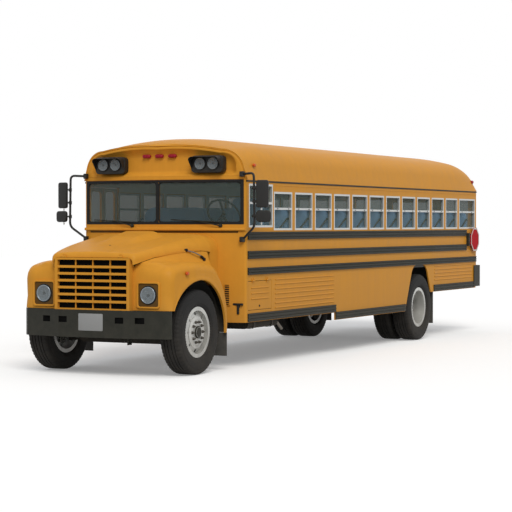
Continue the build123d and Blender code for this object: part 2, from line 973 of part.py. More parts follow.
def fender_outline(inset, low, arch):
    # Side view of a front fender, as a wire: flat nose, long crown, round tail and wheel arch.
    top = fender_crown_z - inset
    nose = fender_front - inset
    tail = fender_tail + inset
    with BuildLine() as wire:
        Line((nose, low), (nose, fender_nose_z - inset))
        ThreePointArc((nose, fender_nose_z - inset), (nose - nose_bend,
                                                      fender_shoulder_z - nose_bend / 2 - inset),
                      (fender_shoulder_x, fender_shoulder_z - inset))
        ThreePointArc((fender_shoulder_x, fender_shoulder_z - inset), (fender_crown_x, top),
                      (fender_drop_x, fender_drop_z - inset))
        ThreePointArc((fender_drop_x, fender_drop_z - inset),
                      (fender_tail_mid_x + inset, fender_tail_mid_z),
                      (tail, fender_tail_z if arch else low))
        if arch:
            arch_back = front_x - (front_arch_radius ** 2 - (front_arch_z - fender_tail_z) ** 2) ** (1 / 2)
            arch_front = front_x + (front_arch_radius ** 2 - (low - front_arch_z) ** 2) ** (1 / 2)
            Line((tail, fender_tail_z), (arch_back, fender_tail_z))
            ThreePointArc((arch_back, fender_tail_z), (front_x, front_arch_z + front_arch_radius),
                          (arch_front, low))
            Line((arch_front, low), (nose, low))
        else:
            Line((tail, low), (nose, low))
    return wire


def fender_form(side, inset, low, arch):
    with BuildPart() as form:
        inner = side * (fender_in + inset)
        outer = side * (fender_wide - inset)
        with BuildSketch(side_plane(max(inner, outer))) as outline:
            make_face(fender_outline(inset, low, arch).edges())
        extrude(outline.sketch, amount=abs(outer - inner))
        with BuildSketch(Plane.XY) as plan:
            with BuildLine():
                Polyline(
                    (fender_tail - overrun, inner), (fender_front - inset, inner),
                    (fender_front - inset, side * (fender_nose_half - inset - nose_bend)),
                    (fender_front - inset - nose_bend, side * (fender_nose_half - inset)),
                    (fender_crown_x, side * (fender_mid_half - inset)), (fender_tail - overrun, outer),
                    close=True,
                )
            make_face()
        extrude(plan.sketch, amount=roof_top, mode=Mode.INTERSECT)
    return form


for side, name in ((1, "fender_left"), (-1, "fender_right")):
    shell = fender_form(side, 0, fender_low, True)
    hollow = fender_form(side, panel, fender_tail_z - overrun, False)
    with BuildPart() as flange:
        with BuildSketch(Plane.XY.offset(seam_low)) as plan:
            with BuildLine():
                Polyline(
                    (fender_front - nose_bend, side * (hood_front_half + flange_flare)),
                    (hood_mid_x, side * hood_mid_half),
                    (hood_rear_mid_x, side * hood_rear_mid_half), (hood_back, side * hood_rear_half),
                    (hood_back, side * (hood_rear_half - panel)),
                    (hood_rear_mid_x, side * (hood_rear_mid_half - panel)),
                    (hood_mid_x, side * (hood_mid_half - panel)),
                    (fender_front - nose_bend, side * (hood_front_half + flange_flare - panel)), close=True,
                )
            make_face()
        extrude(plan.sketch, amount=hood_rear_top - seam_low)
        below_seam(face_gap, Mode.INTERSECT, half_width)
    with BuildPart() as fender:
        add(shell.part)
        add(hollow.part, mode=Mode.SUBTRACT)
        add(flange.part)
        lamp_y = side * headlight_y
        block(fender_front - panel, fender_front + bezel_out, lamp_y - bezel_half, lamp_y + bezel_half,
              headlight_z - bezel_half, headlight_z + bezel_half)
        block(fender_front - 2 * panel, fender_front + 2 * bezel_out, lamp_y - lamp_hole_half,
              lamp_y + lamp_hole_half,
              headlight_z - lamp_hole_half, headlight_z + lamp_hole_half, Mode.SUBTRACT)
    finish(fender, name)

# Headlamps behind the fenders' bezels
with BuildPart() as headlights:
    for side in (1, -1):
        y = side * headlight_y
        block(fender_front - 2 * panel, fender_front - panel, y - bezel_half + panel,
              y + bezel_half - panel,
              headlight_z - bezel_half + panel, headlight_z + bezel_half - panel)
        rod((fender_front - panel, y, headlight_z), (fender_front + panel, y, headlight_z),
            headlight_radius)
finish(headlights, "headlights")


def bumper_plan(shift, trim):
    # The front bumper's face in plan: flat middle, swept ends, round corners. Shift moves it back.
    return [
        (nose_x - shift, bumper_flat_half), (nose_x - shift, -bumper_flat_half),
        (bumper_corner_x - shift, trim - bumper_corner_half), (bumper_end_x, trim - bumper_half),
    ]


# Front bumper with its brackets and tow eyes
with BuildPart() as front_bumper:
    outer = bumper_plan(0, 0)
    back = bumper_plan(bumper_deep, 0)
    with BuildSketch(Plane.XY.offset(bumper_low)) as plan:
        with BuildLine():
            Polyline(outer[0], outer[1], outer[2], outer[3], (back[3][0] - bumper_tip, back[3][1]), back[2],
                     back[1],
                     (back[0][0], back[0][1]), (back[2][0], -back[2][1]),
                     (back[3][0] - bumper_tip, -back[3][1]),
                     (outer[3][0], -outer[3][1]), (outer[2][0], -outer[2][1]), close=True)
        make_face()
    extrude(plan.sketch, amount=bumper_high)
    outer = bumper_plan(bumper_sheet, bumper_sheet)
    back = bumper_plan(2 * bumper_deep, bumper_sheet)
    with BuildSketch(Plane.XY.offset(bumper_low + bumper_sheet)) as plan:
        with BuildLine():
            Polyline(outer[0], outer[1], outer[2], outer[3], (back[3][0] - 2 * bumper_deep, back[3][1]),
                     (back[3][0] - 2 * bumper_deep, -back[3][1]), (outer[3][0], -outer[3][1]),
                     (outer[2][0], -outer[2][1]), close=True)
        make_face()
    extrude(plan.sketch, amount=bumper_high - 2 * bumper_sheet, mode=Mode.SUBTRACT)
    for y in (bumper_slot_in, bumper_slot_out):
        pair_block(bumper_end_x, nose_x + overrun, y - bumper_slot_half, y + bumper_slot_half,
                   bumper_slot_low, bumper_slot_high, Mode.SUBTRACT)
    for side in (1, -1):
        block(rail_front - bracket_grip, nose_x - bumper_sheet, side * rail_outer,
              side * (rail_outer + bracket_thick),
              bumper_low, bumper_low + bumper_high - bumper_sheet)
        block(rail_front - bracket_grip, rail_front, side * rail_outer, side * (rail_outer + bracket_thick),
              rail_low, rail_low + bracket_grip)
        block(tow_x - tow_half, tow_x + tow_half, side * rail_outer, side * (rail_outer + bracket_thick),
              tow_z - tow_half,
              bumper_low + bracket_thick)
        rod((tow_x, 0, tow_z), (tow_x, side * half_width, tow_z), tow_radius, Mode.SUBTRACT)
finish(front_bumper, "front_bumper")

# Rear bumper, wrapped round the corners
with BuildPart() as rear_bumper:
    with BuildSketch(Plane.XY.offset(rear_bumper_low)) as plan:
        with Locations(((tail_x + rear_bumper_front) / 2, 0)):
            Rectangle(rear_bumper_front - tail_x, 2 * rear_bumper_half)
        fillet(plan.vertices().group_by(Axis.X)[0], rear_bumper_bend)
    extrude(plan.sketch, amount=rear_bumper_high)
    with BuildSketch(Plane.XY.offset(rear_bumper_low)) as plan:
        with Locations(((tail_x + rear_bumper_front + overrun) / 2 + bumper_sheet, 0)):
            Rectangle(rear_bumper_front - tail_x + overrun, 2 * (rear_bumper_half - bumper_sheet))
        fillet(plan.vertices().group_by(Axis.X)[0], rear_bumper_bend - bumper_sheet)
    extrude(plan.sketch, amount=rear_bumper_high, mode=Mode.SUBTRACT)
    for side in (1, -1):
        block(tail_x + bumper_sheet, rail_back + bracket_grip, side * rail_outer,
              side * (rail_outer + bracket_thick),
              rear_bumper_low, rail_top - bracket_thick)
        block(rear_tow_x - tow_half, rear_tow_x + tow_half, side * rail_outer,
              side * (rail_outer + bracket_thick), rear_tow_z - tow_half,
              rear_bumper_low + bracket_thick)
        rod((rear_tow_x, 0, rear_tow_z), (rear_tow_x, side * half_width, rear_tow_z), tow_radius,
            Mode.SUBTRACT)
finish(rear_bumper, "rear_bumper")

# Cowl: bowed front wall below the windscreen, its ledge, and the neck that meets the hood
with BuildPart() as neck_hollow:
    extrude(hood_section(neck_front - panel, hood_rear_half - 2 * panel, hood_rear_top - 2 * panel,
                         hood_rear_shoulder - panel, neck_low + panel), amount=neck_deep, dir=(-1, 0, 0))
with BuildPart() as neck:
    extrude(hood_section(neck_front, hood_rear_half - panel, hood_rear_top - panel, hood_rear_shoulder,
                         neck_low),
            amount=neck_deep, dir=(-1, 0, 0))
    add(neck_hollow.part, mode=Mode.SUBTRACT)
    bowed(body_x - band / 2, 0, roof_top, Mode.INTERSECT)
with BuildPart() as cowl:
    bowed(body_x, front_skirt_low, screen_low, back=band_x)
    fillet(cowl.edges().filter_by(Axis.Z).group_by(Axis.X)[-1], corner_radius)
    block(band_x - overrun, nose_x, -neck_foot_half, neck_foot_half, 0, neck_low, Mode.SUBTRACT)
    bowed(body_x + ledge_out, ledge_low, ledge_high, back=body_x - ledge_out)
    add(neck.part)
finish(cowl, "cowl")

# Windscreen frame and its two panes
with BuildPart() as screen_frame:
    bowed(body_x, screen_low, wall_top, back=band_x)
    fillet(screen_frame.edges().filter_by(Axis.Z).group_by(Axis.X)[-1], corner_radius)
    pair_block(band_x - overrun, nose_x, screen_post / 2, half_width - screen_side,
               screen_low + screen_edge,
               wall_top - screen_edge, Mode.SUBTRACT)
finish(screen_frame, "screen_frame")

with BuildPart() as windshield:
    bowed(body_x - screen_set, screen_low + screen_edge, wall_top - screen_edge,
          back=body_x - screen_set - glass_thick)
    block(band_x - overrun, nose_x, -screen_post / 2, screen_post / 2, 0, roof_top, Mode.SUBTRACT)
    pair_block(band_x - overrun, nose_x, half_width - screen_side, half_width + wall, 0, roof_top,
               Mode.SUBTRACT)
finish(windshield, "windshield")


def roof_section(x, top, crown_y, crown_z, shoulder_y, shoulder_z, half, low):
    # Half-round coach roof: leaning sides, round coves and a shallow crown.
    with BuildSketch(cross_plane(x)) as section:
        with BuildLine():
            Polyline((-shoulder_y, shoulder_z), (-half, low), (half, low), (shoulder_y, shoulder_z))
            TangentArc((shoulder_y, shoulder_z), (crown_y, crown_z),
                       tangent=(shoulder_y - half, shoulder_z - low))
            ThreePointArc((crown_y, crown_z), (0, top), (-crown_y, crown_z))
            TangentArc((-shoulder_y, shoulder_z), (-crown_y, crown_z),
                       tangent=(half - shoulder_y, shoulder_z - low))
        make_face()
    return section.sketch


def roof_station(x, drop, draw, inset, low):
    # A section of the roof lowered by drop and drawn in by draw at its shoulders.
    return roof_section(x, roof_top - drop - inset, crown_y - draw - inset, crown_z - drop - inset,
                        shoulder_y - draw / 2 - inset,
                        shoulder_z - drop / 3, half_width - inset, low)


with BuildPart() as roof:
    extrude(roof_station(roof_back, 0, 0, 0, wall_top), amount=roof_front - roof_back, dir=(1, 0, 0))
    extrude(roof_station(roof_back, 0, 0, roof_wall, wall_top), amount=roof_front - roof_back,
            dir=(1, 0, 0),
            mode=Mode.SUBTRACT)
finish(roof, "roof")


def cap_stations(start, end, drop, draw, inset, low):
    # Sections from start to end whose drop grows as a quarter round.
    for i in range(cap_steps + 1):
        share = i / cap_steps
        x = start + (end - start) * sin(share * pi / 2)
        fall = 1 - cos(share * pi / 2)
        add(roof_station(x, drop * fall, draw * fall, inset, low))


with BuildPart() as cap_hollow:
    cap_stations(roof_front, bow_x, cap_drop, cap_draw, roof_wall, wall_top - overrun)
    loft(ruled=True)
    bowed(band_x, wall_top - overrun, roof_top, Mode.SUBTRACT)
with BuildPart() as brow:
    extrude(roof_station(roof_front, cap_drop, cap_draw, brow_inset, brow_low), amount=nose_x - roof_front,
            dir=(1, 0, 0))
    bowed(body_x - brow_deep, 0, roof_top, Mode.INTERSECT)
with BuildPart() as front_cap:
    cap_stations(roof_front, bow_x, cap_drop, cap_draw, 0, wall_top)
    loft(ruled=True)
    bowed(body_x, 0, roof_top + overrun, Mode.SUBTRACT)
    add(cap_hollow.part, mode=Mode.SUBTRACT)
    add(brow.part, mode=Mode.SUBTRACT)
finish(front_cap, "front_cap")

with BuildPart() as tail_hollow:
    cap_stations(roof_back, back_in_x, tail_drop, tail_draw, roof_wall, wall_top - overrun)
    loft(ruled=True)
with BuildPart() as rear_cap:
    cap_stations(roof_back, back_x, tail_drop, tail_draw, 0, wall_top)
    loft(ruled=True)
    add(tail_hollow.part, mode=Mode.SUBTRACT)
finish(rear_cap, "rear_cap")

# Side windows: name, front edge, width, low, high for each opening on a side
rows = [
    (body_x - first_window - i * window_pitch, window_wide if i < window_count - 1 else last_window_wide,
     window_low, window_high)
    for i in range(window_count)
]
driver_row = (band_x - driver_window_front, driver_window_wide, driver_window_low, driver_window_high)
side_rows = {1: [driver_row] + rows, -1: rows}
door_x = band_x - door_front
door_end = door_x - door_wide
leaf_wide = (door_wide - 3 * face_gap) / 2
entry_hinges = {
    "front": [Plane(origin=(door_x, -half_width - hinge_stand, z), x_dir=(-1, 0, 0),
                    z_dir=(0, 0, 1)) for z in entry_hinge_heights],
    "rear": [Plane(origin=(door_end, -half_width - hinge_stand, z), x_dir=(1, 0, 0),
                   z_dir=(0, 0, -1)) for z in entry_hinge_heights],
}

for side, name in ((1, "wall_left"), (-1, "wall_right")):
    with BuildPart() as side_wall:
        block(back_in_x, band_x, side * (half_width - wall), side * half_width, floor_top, wall_top)
        for x, wide, low, high in side_rows[side]:
            block(x - wide, x, side * (half_width - 2 * wall), side * (half_width + wall), low, high,
                  Mode.SUBTRACT)
        if side < 0:
            block(door_end, door_x, -half_width - wall, 2 * wall - half_width, floor_top - overrun,
                  door_high, Mode.SUBTRACT)
            for planes in entry_hinges.values():
                for plane in planes:
                    if plane.origin.Z > floor_top:
                        hinge_pin(plane)
    finish(side_wall, name)

with BuildPart() as window_frames:
    for side in (1, -1):
        for x, wide, low, high in side_rows[side]:
            inner = side * (half_width - wall + sash_rail)
            outer = side * (half_width - seat_gap)
            glass_out = side * (half_width - wall + sash_rail + glass_thick)
            block(x - wide, x, inner, outer, low, high)
            block(x - wide + sash, x - sash, inner - side * wall, outer + side * wall, low + sash,
                  high - sash, Mode.SUBTRACT)
            middle = low + (high - low) * mid_rail_share
            block(x - wide + sash, x - sash, glass_out, outer, middle - sash_rail, middle + sash_rail)
finish(window_frames, "window_frames")

with BuildPart() as window_glass:
    for side in (1, -1):
        for x, wide, low, high in side_rows[side]:
            inner = side * (half_width - wall + sash_rail)
            block(x - wide + sash, x - sash, inner, inner + side * glass_thick, low + sash, high - sash)
    pair_block(back_x + sash_rail, back_x + sash_rail + glass_thick, rear_window_in, rear_window_out,
               rear_window_low, rear_window_high)
finish(window_glass, "window_glass")

# Skirts below the floor line, with the rear arch cut through them
battery_x = body_x - battery_front
battery_plane = [
    Plane(origin=(battery_x - share * battery_wide, half_width + hinge_stand, battery_high + face_gap),
          x_dir=(0, 0, -1), z_dir=(1, 0, 0))
    for share in hinge_shares
]
for side, name in ((1, "skirt_left"), (-1, "skirt_right")):
    with BuildPart() as skirt:
        sections = (
            # front end, back end, bottom
            (band_x, skirt_step_x, front_skirt_low),
            (skirt_step_x, rear_x, mid_skirt_low),
            (rear_x, back_in_x, rear_skirt_low),
        )
        for front, back, low in sections:
            block(back, front, side * slab_half, side * half_width, low, floor_top)
        arch = [
            (rear_x - arch_low_half, mid_skirt_low - overrun), (rear_x - arch_low_half, mid_skirt_low),
            (rear_x - arch_top_half, floor_top),
            (rear_x + arch_top_half, floor_top), (rear_x + arch_low_half, mid_skirt_low),
            (rear_x + arch_low_half, mid_skirt_low - overrun),
        ]
        beads(front_ribs_x, front_ribs_back, side, front_ribs_low, front_ribs_high, front_rib_count)
        beads(rear_ribs_x, rear_ribs_back, side, rear_ribs_low, rear_ribs_high, rear_rib_count)
        plate(side_plane(side * slab_half + wall), arch, 2 * wall, Mode.SUBTRACT, arch_radius, (2, 3))
        if side > 0:
            block(battery_x - battery_wide, battery_x, slab_half - wall, half_width + wall, battery_low,
                  battery_high, Mode.SUBTRACT)
            for plane in battery_plane:
                hinge_pin(plane)
        else:
            block(door_end, door_x, -half_width - wall, wall - slab_half, 0, floor_top + overrun,
                  Mode.SUBTRACT)
            for planes in entry_hinges.values():
                for plane in planes:
                    if plane.origin.Z < floor_top:
                        hinge_pin(plane)
    finish(skirt, name)

with BuildPart() as battery_door:
    block(battery_x - battery_wide + face_gap, battery_x - face_gap, half_width - door_sheet, half_width,
          battery_low + face_gap, battery_high - face_gap)
    beads(battery_x - louvre_inset, battery_x - battery_wide + louvre_inset, 1, louvre_low, louvre_high,
          louvre_count)
    for plane in battery_plane:
        hinge_leaf(plane)
finish(battery_door, "battery_door")

# Floor with its cross bearers, and the step well
with BuildPart() as floor:
    block(back_in_x, bow_x, -slab_half, slab_half, floor_top - floor_depth, floor_top)
    bowed(band_x, 0, roof_top, Mode.SUBTRACT)
    block(door_end, door_x, -half_width, step_sheet - well_in, 0, roof_top, Mode.SUBTRACT)
    for i in range(bearer_count):
        x = band_x - bearer_start - i * bearer_pitch
        at_wheels = abs(x - rear_x) < arch_low_half + bearer_thick
        reach = bearer_short if at_wheels or i < bearer_skip else bearer_half
        block(x - bearer_thick, x, -reach, reach, rail_top, floor_top - floor_depth)
finish(floor, "floor")

step_deep = (slab_half - well_in) / step_count
step_rise = (floor_top - step_low) / step_count
with BuildPart() as step_well:
    points = [(-well_in, floor_top)]
    for i in range(step_count):
        y = -well_in - i * step_deep
        z = floor_top - (i + 1) * step_rise
        points.append((y, z))
        points.append((y - step_deep, z))
    under = [(y + step_sheet, z - step_sheet) for y, z in reversed(points[1:])]
    points[-1] = (points[-1][0] + door_sheet, points[-1][1])
    under[0] = (points[-1][0], under[0][1])
    plate(cross_plane(door_end), points + under + [(step_sheet - well_in, floor_top)], door_wide)
    closed = points + [(points[-1][0], floor_top)]
    for x in (door_end, door_x - step_sheet):
        plate(cross_plane(x), [(y, min(z, floor_top - floor_depth)) for y, z in closed], step_sheet)
finish(step_well, "step_well")

# Rear wall with the opening of the emergency door and two windows
rear_hinges = [Plane(origin=(back_x - hinge_stand, -rear_door_half - face_gap, z), x_dir=(0, 1, 0),
                     z_dir=(0, 0, 1)) for z in rear_hinge_heights]
with BuildPart() as rear_wall:
    block(back_x, back_in_x, -half_width, half_width, rear_wall_low, wall_top)
    fillet(rear_wall.edges().filter_by(Axis.Z).group_by(Axis.X)[0], corner_radius)
    open_half = rear_door_half + face_gap
    block(back_x - wall, back_in_x + wall, -open_half, open_half, rear_door_low - face_gap,
          rear_door_high + face_gap, Mode.SUBTRACT)
    pair_block(back_x - wall, back_in_x + wall, rear_window_in, rear_window_out, rear_window_low,
               rear_window_high, Mode.SUBTRACT)
    for plane in rear_hinges:
        hinge_pin(plane)
finish(rear_wall, "rear_wall")

with BuildPart() as rear_door:
    block(back_x, back_x + rear_door_thick, -rear_door_half, rear_door_half, rear_door_low, rear_door_high)
    block(back_x - wall, back_x + wall, -rear_pane_half, rear_pane_half, rear_pane_low, rear_pane_high,
          Mode.SUBTRACT)
    for plane in rear_hinges:
        hinge_leaf(plane)
finish(rear_door, "rear_door")

with BuildPart() as rear_door_glass:
    block(back_x + sash_rail, back_x + sash_rail + glass_thick, -rear_pane_half, rear_pane_half,
          rear_pane_low, rear_pane_high)
finish(rear_door_glass, "rear_door_glass")


def leaf_panes(front, y):
    # The two windows of a door leaf, one above the other, with round corners.
    with BuildSketch(side_plane(y)) as panes:
        for low, high in ((pane_low, pane_mid - leaf_frame), (pane_mid, door_high - face_gap - leaf_frame)):
            with Locations((front - leaf_wide / 2, (low + high) / 2)):
                RectangleRounded(leaf_wide - 2 * leaf_frame, high - low, pane_radius)
    return panes.sketch


# Two-leaf entry door
for name, front in (("front", door_x - face_gap), ("rear", door_x - 2 * face_gap - leaf_wide)):
    with BuildPart() as leaf:
        block(front - leaf_wide, front, -half_width, leaf_thick - half_width, door_low,
              door_high - face_gap)
        extrude(leaf_panes(front, wall - half_width), amount=2 * wall, dir=(0, -1, 0), mode=Mode.SUBTRACT)
        for plane in entry_hinges[name]:
            hinge_leaf(plane)
    finish(leaf, f"entry_door_{name}")
    with BuildPart() as pane:
        extrude(leaf_panes(front, leaf_thick / 2 - half_width), amount=glass_thick, dir=(0, 1, 0))
    finish(pane, f"entry_glass_{name}")


def ribbed_rail(front, back, side, low, high):
    # Three lands with two grooves between them.
    land = rail_land_share * (high - low)
    slope = (high - low - 3 * land) / 4
    out = half_width + rail_out
    groove = out - rail_groove
    with BuildSketch(cross_plane(back)) as section:
        with BuildLine():
            points = [(half_width, low), (out, low), (out, low + land)]
            points += [(groove, low + land + slope), (out, low + land + 2 * slope),
                       (out, high - land - 2 * slope)]
            points += [(groove, high - land - slope), (out, high - land), (out, high), (half_width, high)]
            Polyline(*[(side * y, z) for y, z in points], close=True)
        make_face()
    extrude(section.sketch, amount=front - back)


# Rub rails: side rails that run the length, and one along the foot of each skirt section
with BuildPart() as rub_rails:
    for side in (1, -1):
        start = band_x if side > 0 else door_end - rail_end_gap
        for high, low, end in ((rail1_high, rail1_low, stop_rail_end),
                               (rail2_high, rail2_low, stop_rail_end), (rail3_high, rail3_low, back_in_x)):
            ribbed_rail(start, end if side > 0 else back_in_x, side, low, high)
        for front, back, low in (
            (start, skirt_step_x, front_skirt_low + rail_lift),
            (skirt_step_x, rear_x + arch_low_half, mid_skirt_low + rail_lift),
            (rear_x - arch_low_half, rear_bumper_front + face_gap, rear_skirt_low + rail_lift),
        ):
            ribbed_rail(front, back, side, low, low + skirt_rail_high)
finish(rub_rails, "rub_rails")

# Folding stop sign on the driver's side
stop_plane = [Plane(origin=(stop_x, half_width + stop_stand, z), x_dir=(-1, 0, 0),
                    z_dir=(0, 0, -1)) for z in (stop_z - stop_hinge_half, stop_z + stop_hinge_half)]
with BuildPart() as stop_bracket:
    block(stop_x + barrel_radius, stop_x + stop_box, half_width, half_width + stop_box_out,
          stop_z - stop_box_half, stop_z + stop_box_half)
    for plane in stop_plane:
        hinge_pin(plane)
finish(stop_bracket, "stop_bracket")

with BuildPart() as stop_arm:
    sign_y = half_width + stop_stand - hinge_stand
    with BuildSketch(side_plane(sign_y + stop_sheet)) as sign:
        with Locations((stop_x - stop_gap - stop_wide / 2, stop_z)):
            RegularPolygon(stop_wide / 2, 8, major_radius=False, rotation=octagon_turn)
    extrude(sign.sketch, amount=stop_sheet)
    block(stop_x - stop_gap - overrun, stop_x - barrel_radius, sign_y, sign_y + stop_sheet,
          stop_z - stop_hinge_half - barrel_long, stop_z + stop_hinge_half + barrel_long)
    for plane in stop_plane:
        hinge_leaf(plane)
finish(stop_arm, "stop_arm")

# Mirrors on tube loops, both sides
with BuildPart() as mirrors:
    for side in (1, -1):
        with BuildLine() as loop:
            FilletPolyline(*[(x, side * y, z) for x, y, z in mirror_loop], radius=mirror_bend)
        with BuildSketch(Plane(origin=loop.line @ 0, z_dir=loop.line % 0)) as section:
            Circle(tube_radius)
        sweep(section.sketch, path=loop.line)
        with BuildPart() as feet:
            for x, y, z in (mirror_loop[0], mirror_loop[-1]):
                block(body_x, body_x + mirror_foot_deep, side * (y - mirror_foot_half),
                      side * (y + mirror_foot_half),
                      z - mirror_foot_half, z + mirror_foot_half)
            bowed(body_x, 0, roof_top, Mode.INTERSECT)
        add(feet.part)
        block(mirror_x - mirror_deep / 2, mirror_x + mirror_deep / 2, side * mirror_in, side * mirror_out,
              mirror_low, mirror_high)
        block(mirror_x - mirror_deep / 2, mirror_x + mirror_deep / 2, side * convex_in, side * convex_out,
              convex_low, convex_high)
finish(mirrors, "mirrors")

# Warning lamp pods, front and rear, and all the lamps
with BuildPart() as lamp_pods:
    pair_block(band_x - wall, pod_x + pod_deep, pod_in, pod_out, pod_low, pod_high)
    bowed(body_x - brow_deep, 0, roof_top, Mode.INTERSECT)
    add(front_cap.part, mode=Mode.SUBTRACT)
    pair_block(back_x - rear_pod_deep, back_x, pod_in, pod_out, pod_low - rear_pod_drop,
               pod_high - rear_pod_drop)
finish(lamp_pods, "lamp_pods")

with BuildPart() as lamps:
    for side in (1, -1):
        for share in pod_lamp_shares:
            y = side * (pod_in + share * (pod_out - pod_in))
            z = (pod_low + pod_high) / 2
            rod((pod_x + pod_deep, y, z), (pod_x + pod_deep + lamp_out, y, z), pod_lamp_radius)
            rod((back_x - rear_pod_deep, y, z - rear_pod_drop),
                (back_x - rear_pod_deep - lamp_out, y, z - rear_pod_drop),
                pod_lamp_radius)
        for y, z, radius in ((tail_lamp_y, tail_lamp_z, tail_lamp_radius),
                             (tail_lamp_y, signal_lamp_z, signal_lamp_radius)):
            rod((back_x, side * y, z), (back_x - lamp_out, side * y, z), radius)
finish(lamps, "lamps")

# Passenger seats: one bench each side in every row
with BuildPart() as seats:
    for i in range(seat_rows):
        x = band_x - first_seat - i * seat_pitch
        for side in (1, -1):
            profile = [
                (x, floor_top + seat_high - cushion_thick), (x, floor_top + seat_high),
                (x - seat_deep, floor_top + seat_high),
                (x - seat_deep - seat_lean, floor_top + seat_back_high),
                (x - seat_deep - seat_lean - back_thick, floor_top + seat_back_high),
                (x - seat_deep - back_thick, floor_top + seat_high - cushion_thick),
                (x - seat_deep, floor_top + seat_high - cushion_thick),
                (x - seat_deep, floor_top), (x - seat_deep + seat_leg, floor_top),
                (x - seat_deep + seat_leg, floor_top + seat_high - cushion_thick),
            ]
            y = seat_out if side > 0 else -seat_in
            plate(side_plane(y), profile, seat_out - seat_in)
finish(seats, "seats")

with BuildPart() as driver_seat:
    profile = [
        (driver_x, driver_top - cushion_thick), (driver_x, driver_top), (driver_x - seat_deep, driver_top),
        (driver_x - seat_deep - seat_lean, driver_top + driver_back_high),
        (driver_x - seat_deep - seat_lean - back_thick, driver_top + driver_back_high),
        (driver_x - seat_deep - back_thick, driver_top - cushion_thick),
    ]
    plate(side_plane(driver_y + driver_half), profile, 2 * driver_half)
    block(driver_x - seat_deep, driver_x - overrun, driver_y - pedestal_half, driver_y + pedestal_half,
          floor_top, driver_top - cushion_thick)
finish(driver_seat, "driver_seat")

with BuildPart() as dashboard:
    block(band_x - dash_deep, bow_x, -dash_half, dash_half, dash_low, dash_high)
    bowed(band_x, 0, roof_top, Mode.SUBTRACT)
    rod((band_x - dash_deep + overrun, driver_y, dash_high - overrun), steering_centre, column_radius)
    run = Vector(*steering_centre) - Vector(band_x - dash_deep + overrun, driver_y, dash_high - overrun)
    with Locations(Plane(origin=steering_centre, z_dir=run)):
        Torus(steering_radius, steering_rim)
        Box(2 * steering_radius, 2 * steering_rim, steering_rim)
finish(dashboard, "dashboard")

with BuildPart() as mud_flaps:
    flap_x = fender_tail + flap_set
    pair_block(flap_x, flap_x + flap_thick, flap_in, fender_wide - panel, flap_low, fender_tail_z)
    rear_flap_x = rear_x - arch_low_half - rear_flap_gap
    pair_block(rear_flap_x, rear_flap_x + flap_thick, rear_flap_in, slab_half, rear_flap_low,
               floor_top - floor_depth)
finish(mud_flaps, "mud_flaps")
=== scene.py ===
import json
import math
import bmesh
import bpy
import numpy as np
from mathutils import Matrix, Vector


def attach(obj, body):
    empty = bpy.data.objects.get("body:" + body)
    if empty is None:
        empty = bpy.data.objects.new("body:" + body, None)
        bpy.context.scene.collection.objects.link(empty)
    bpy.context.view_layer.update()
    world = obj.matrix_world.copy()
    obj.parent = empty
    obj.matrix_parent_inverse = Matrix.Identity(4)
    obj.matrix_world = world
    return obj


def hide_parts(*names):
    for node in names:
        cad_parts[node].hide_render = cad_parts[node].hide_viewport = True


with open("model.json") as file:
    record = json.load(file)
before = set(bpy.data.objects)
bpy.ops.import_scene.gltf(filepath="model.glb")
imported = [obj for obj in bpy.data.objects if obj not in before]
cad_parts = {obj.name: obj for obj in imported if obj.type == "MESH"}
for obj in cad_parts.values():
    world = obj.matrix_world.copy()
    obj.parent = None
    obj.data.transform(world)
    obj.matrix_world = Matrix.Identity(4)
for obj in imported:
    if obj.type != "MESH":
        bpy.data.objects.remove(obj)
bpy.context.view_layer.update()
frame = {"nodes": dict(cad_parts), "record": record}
print("frame loaded")

# Places shared by many pieces, in metres
frontAxle = 4.595
rearAxle = -2.48
bodyX = 3.575
backX = -5.185
wallY = 1.2
eaveZ = 2.404
hubHeight = 0.52
bow = {"radius": 4.58, "rise": 0.16}
sides = ((1, "left"), (-1, "right"))
forward, upward, acrossBus = (1, 0, 0), (0, 0, 1), (0, 1, 0)


def unit(v):
    # A vector over its own length.
    return v / np.linalg.norm(v, axis=-1, keepdims=True)


def basis(direction):
    # The direction d, and two axes square to it and to each other.
    d = unit(np.array(direction, float))
    ref = np.array([0, 0, 1.0]) if abs(d[2]) < 0.9 else np.array([1.0, 0, 0])
    u = unit(np.cross(ref, d))
    return d, u, np.cross(d, u)


def quads(rows, cols, wrapRows=False, wrapCols=False):
    # Faces between neighbours of a grid whose point (i, j) has the index i cols + j.
    i = np.arange(rows if wrapRows else rows - 1)[:, None]
    j = np.arange(cols if wrapCols else cols - 1)[None]
    nextI = (i + 1) % rows
    nextJ = (j + 1) % cols
    corners = [i * cols + j, i * cols + nextJ, nextI * cols + nextJ, nextI * cols + j]
    return np.stack(np.broadcast_arrays(*corners), -1).reshape(-1, 4)


def loft(rings):
    # Rings with the same number of points, joined by quads and closed with a flat face at both ends.
    rings = np.array(rings, float)
    m, n = rings.shape[:2]
    ring = np.arange(n)[None]
    return rings.reshape(-1, 3), [quads(m, n, False, True), ring[:, ::-1], ring + (m - 1) * n]


def hoop(rings):
    # Rings joined by quads, the last one to the first.
    rings = np.array(rings, float)
    return rings.reshape(-1, 3), [quads(*rings.shape[:2], True, True)]


def carried(section, values, axis):
    # Closed section of number pairs, carried straight along one axis through the given values.
    rings = np.zeros((len(values), len(section), 3))
    rings[..., axis] = np.array(values)[:, None]
    rings[..., [k for k in range(3) if k != axis]] = section
    return loft(rings)


def facing(x, outline, centre):
    # Outline of (y, z) pairs about the centre, standing across the bus at x.
    return np.column_stack([np.full(len(outline), x), outline + np.array(centre)])


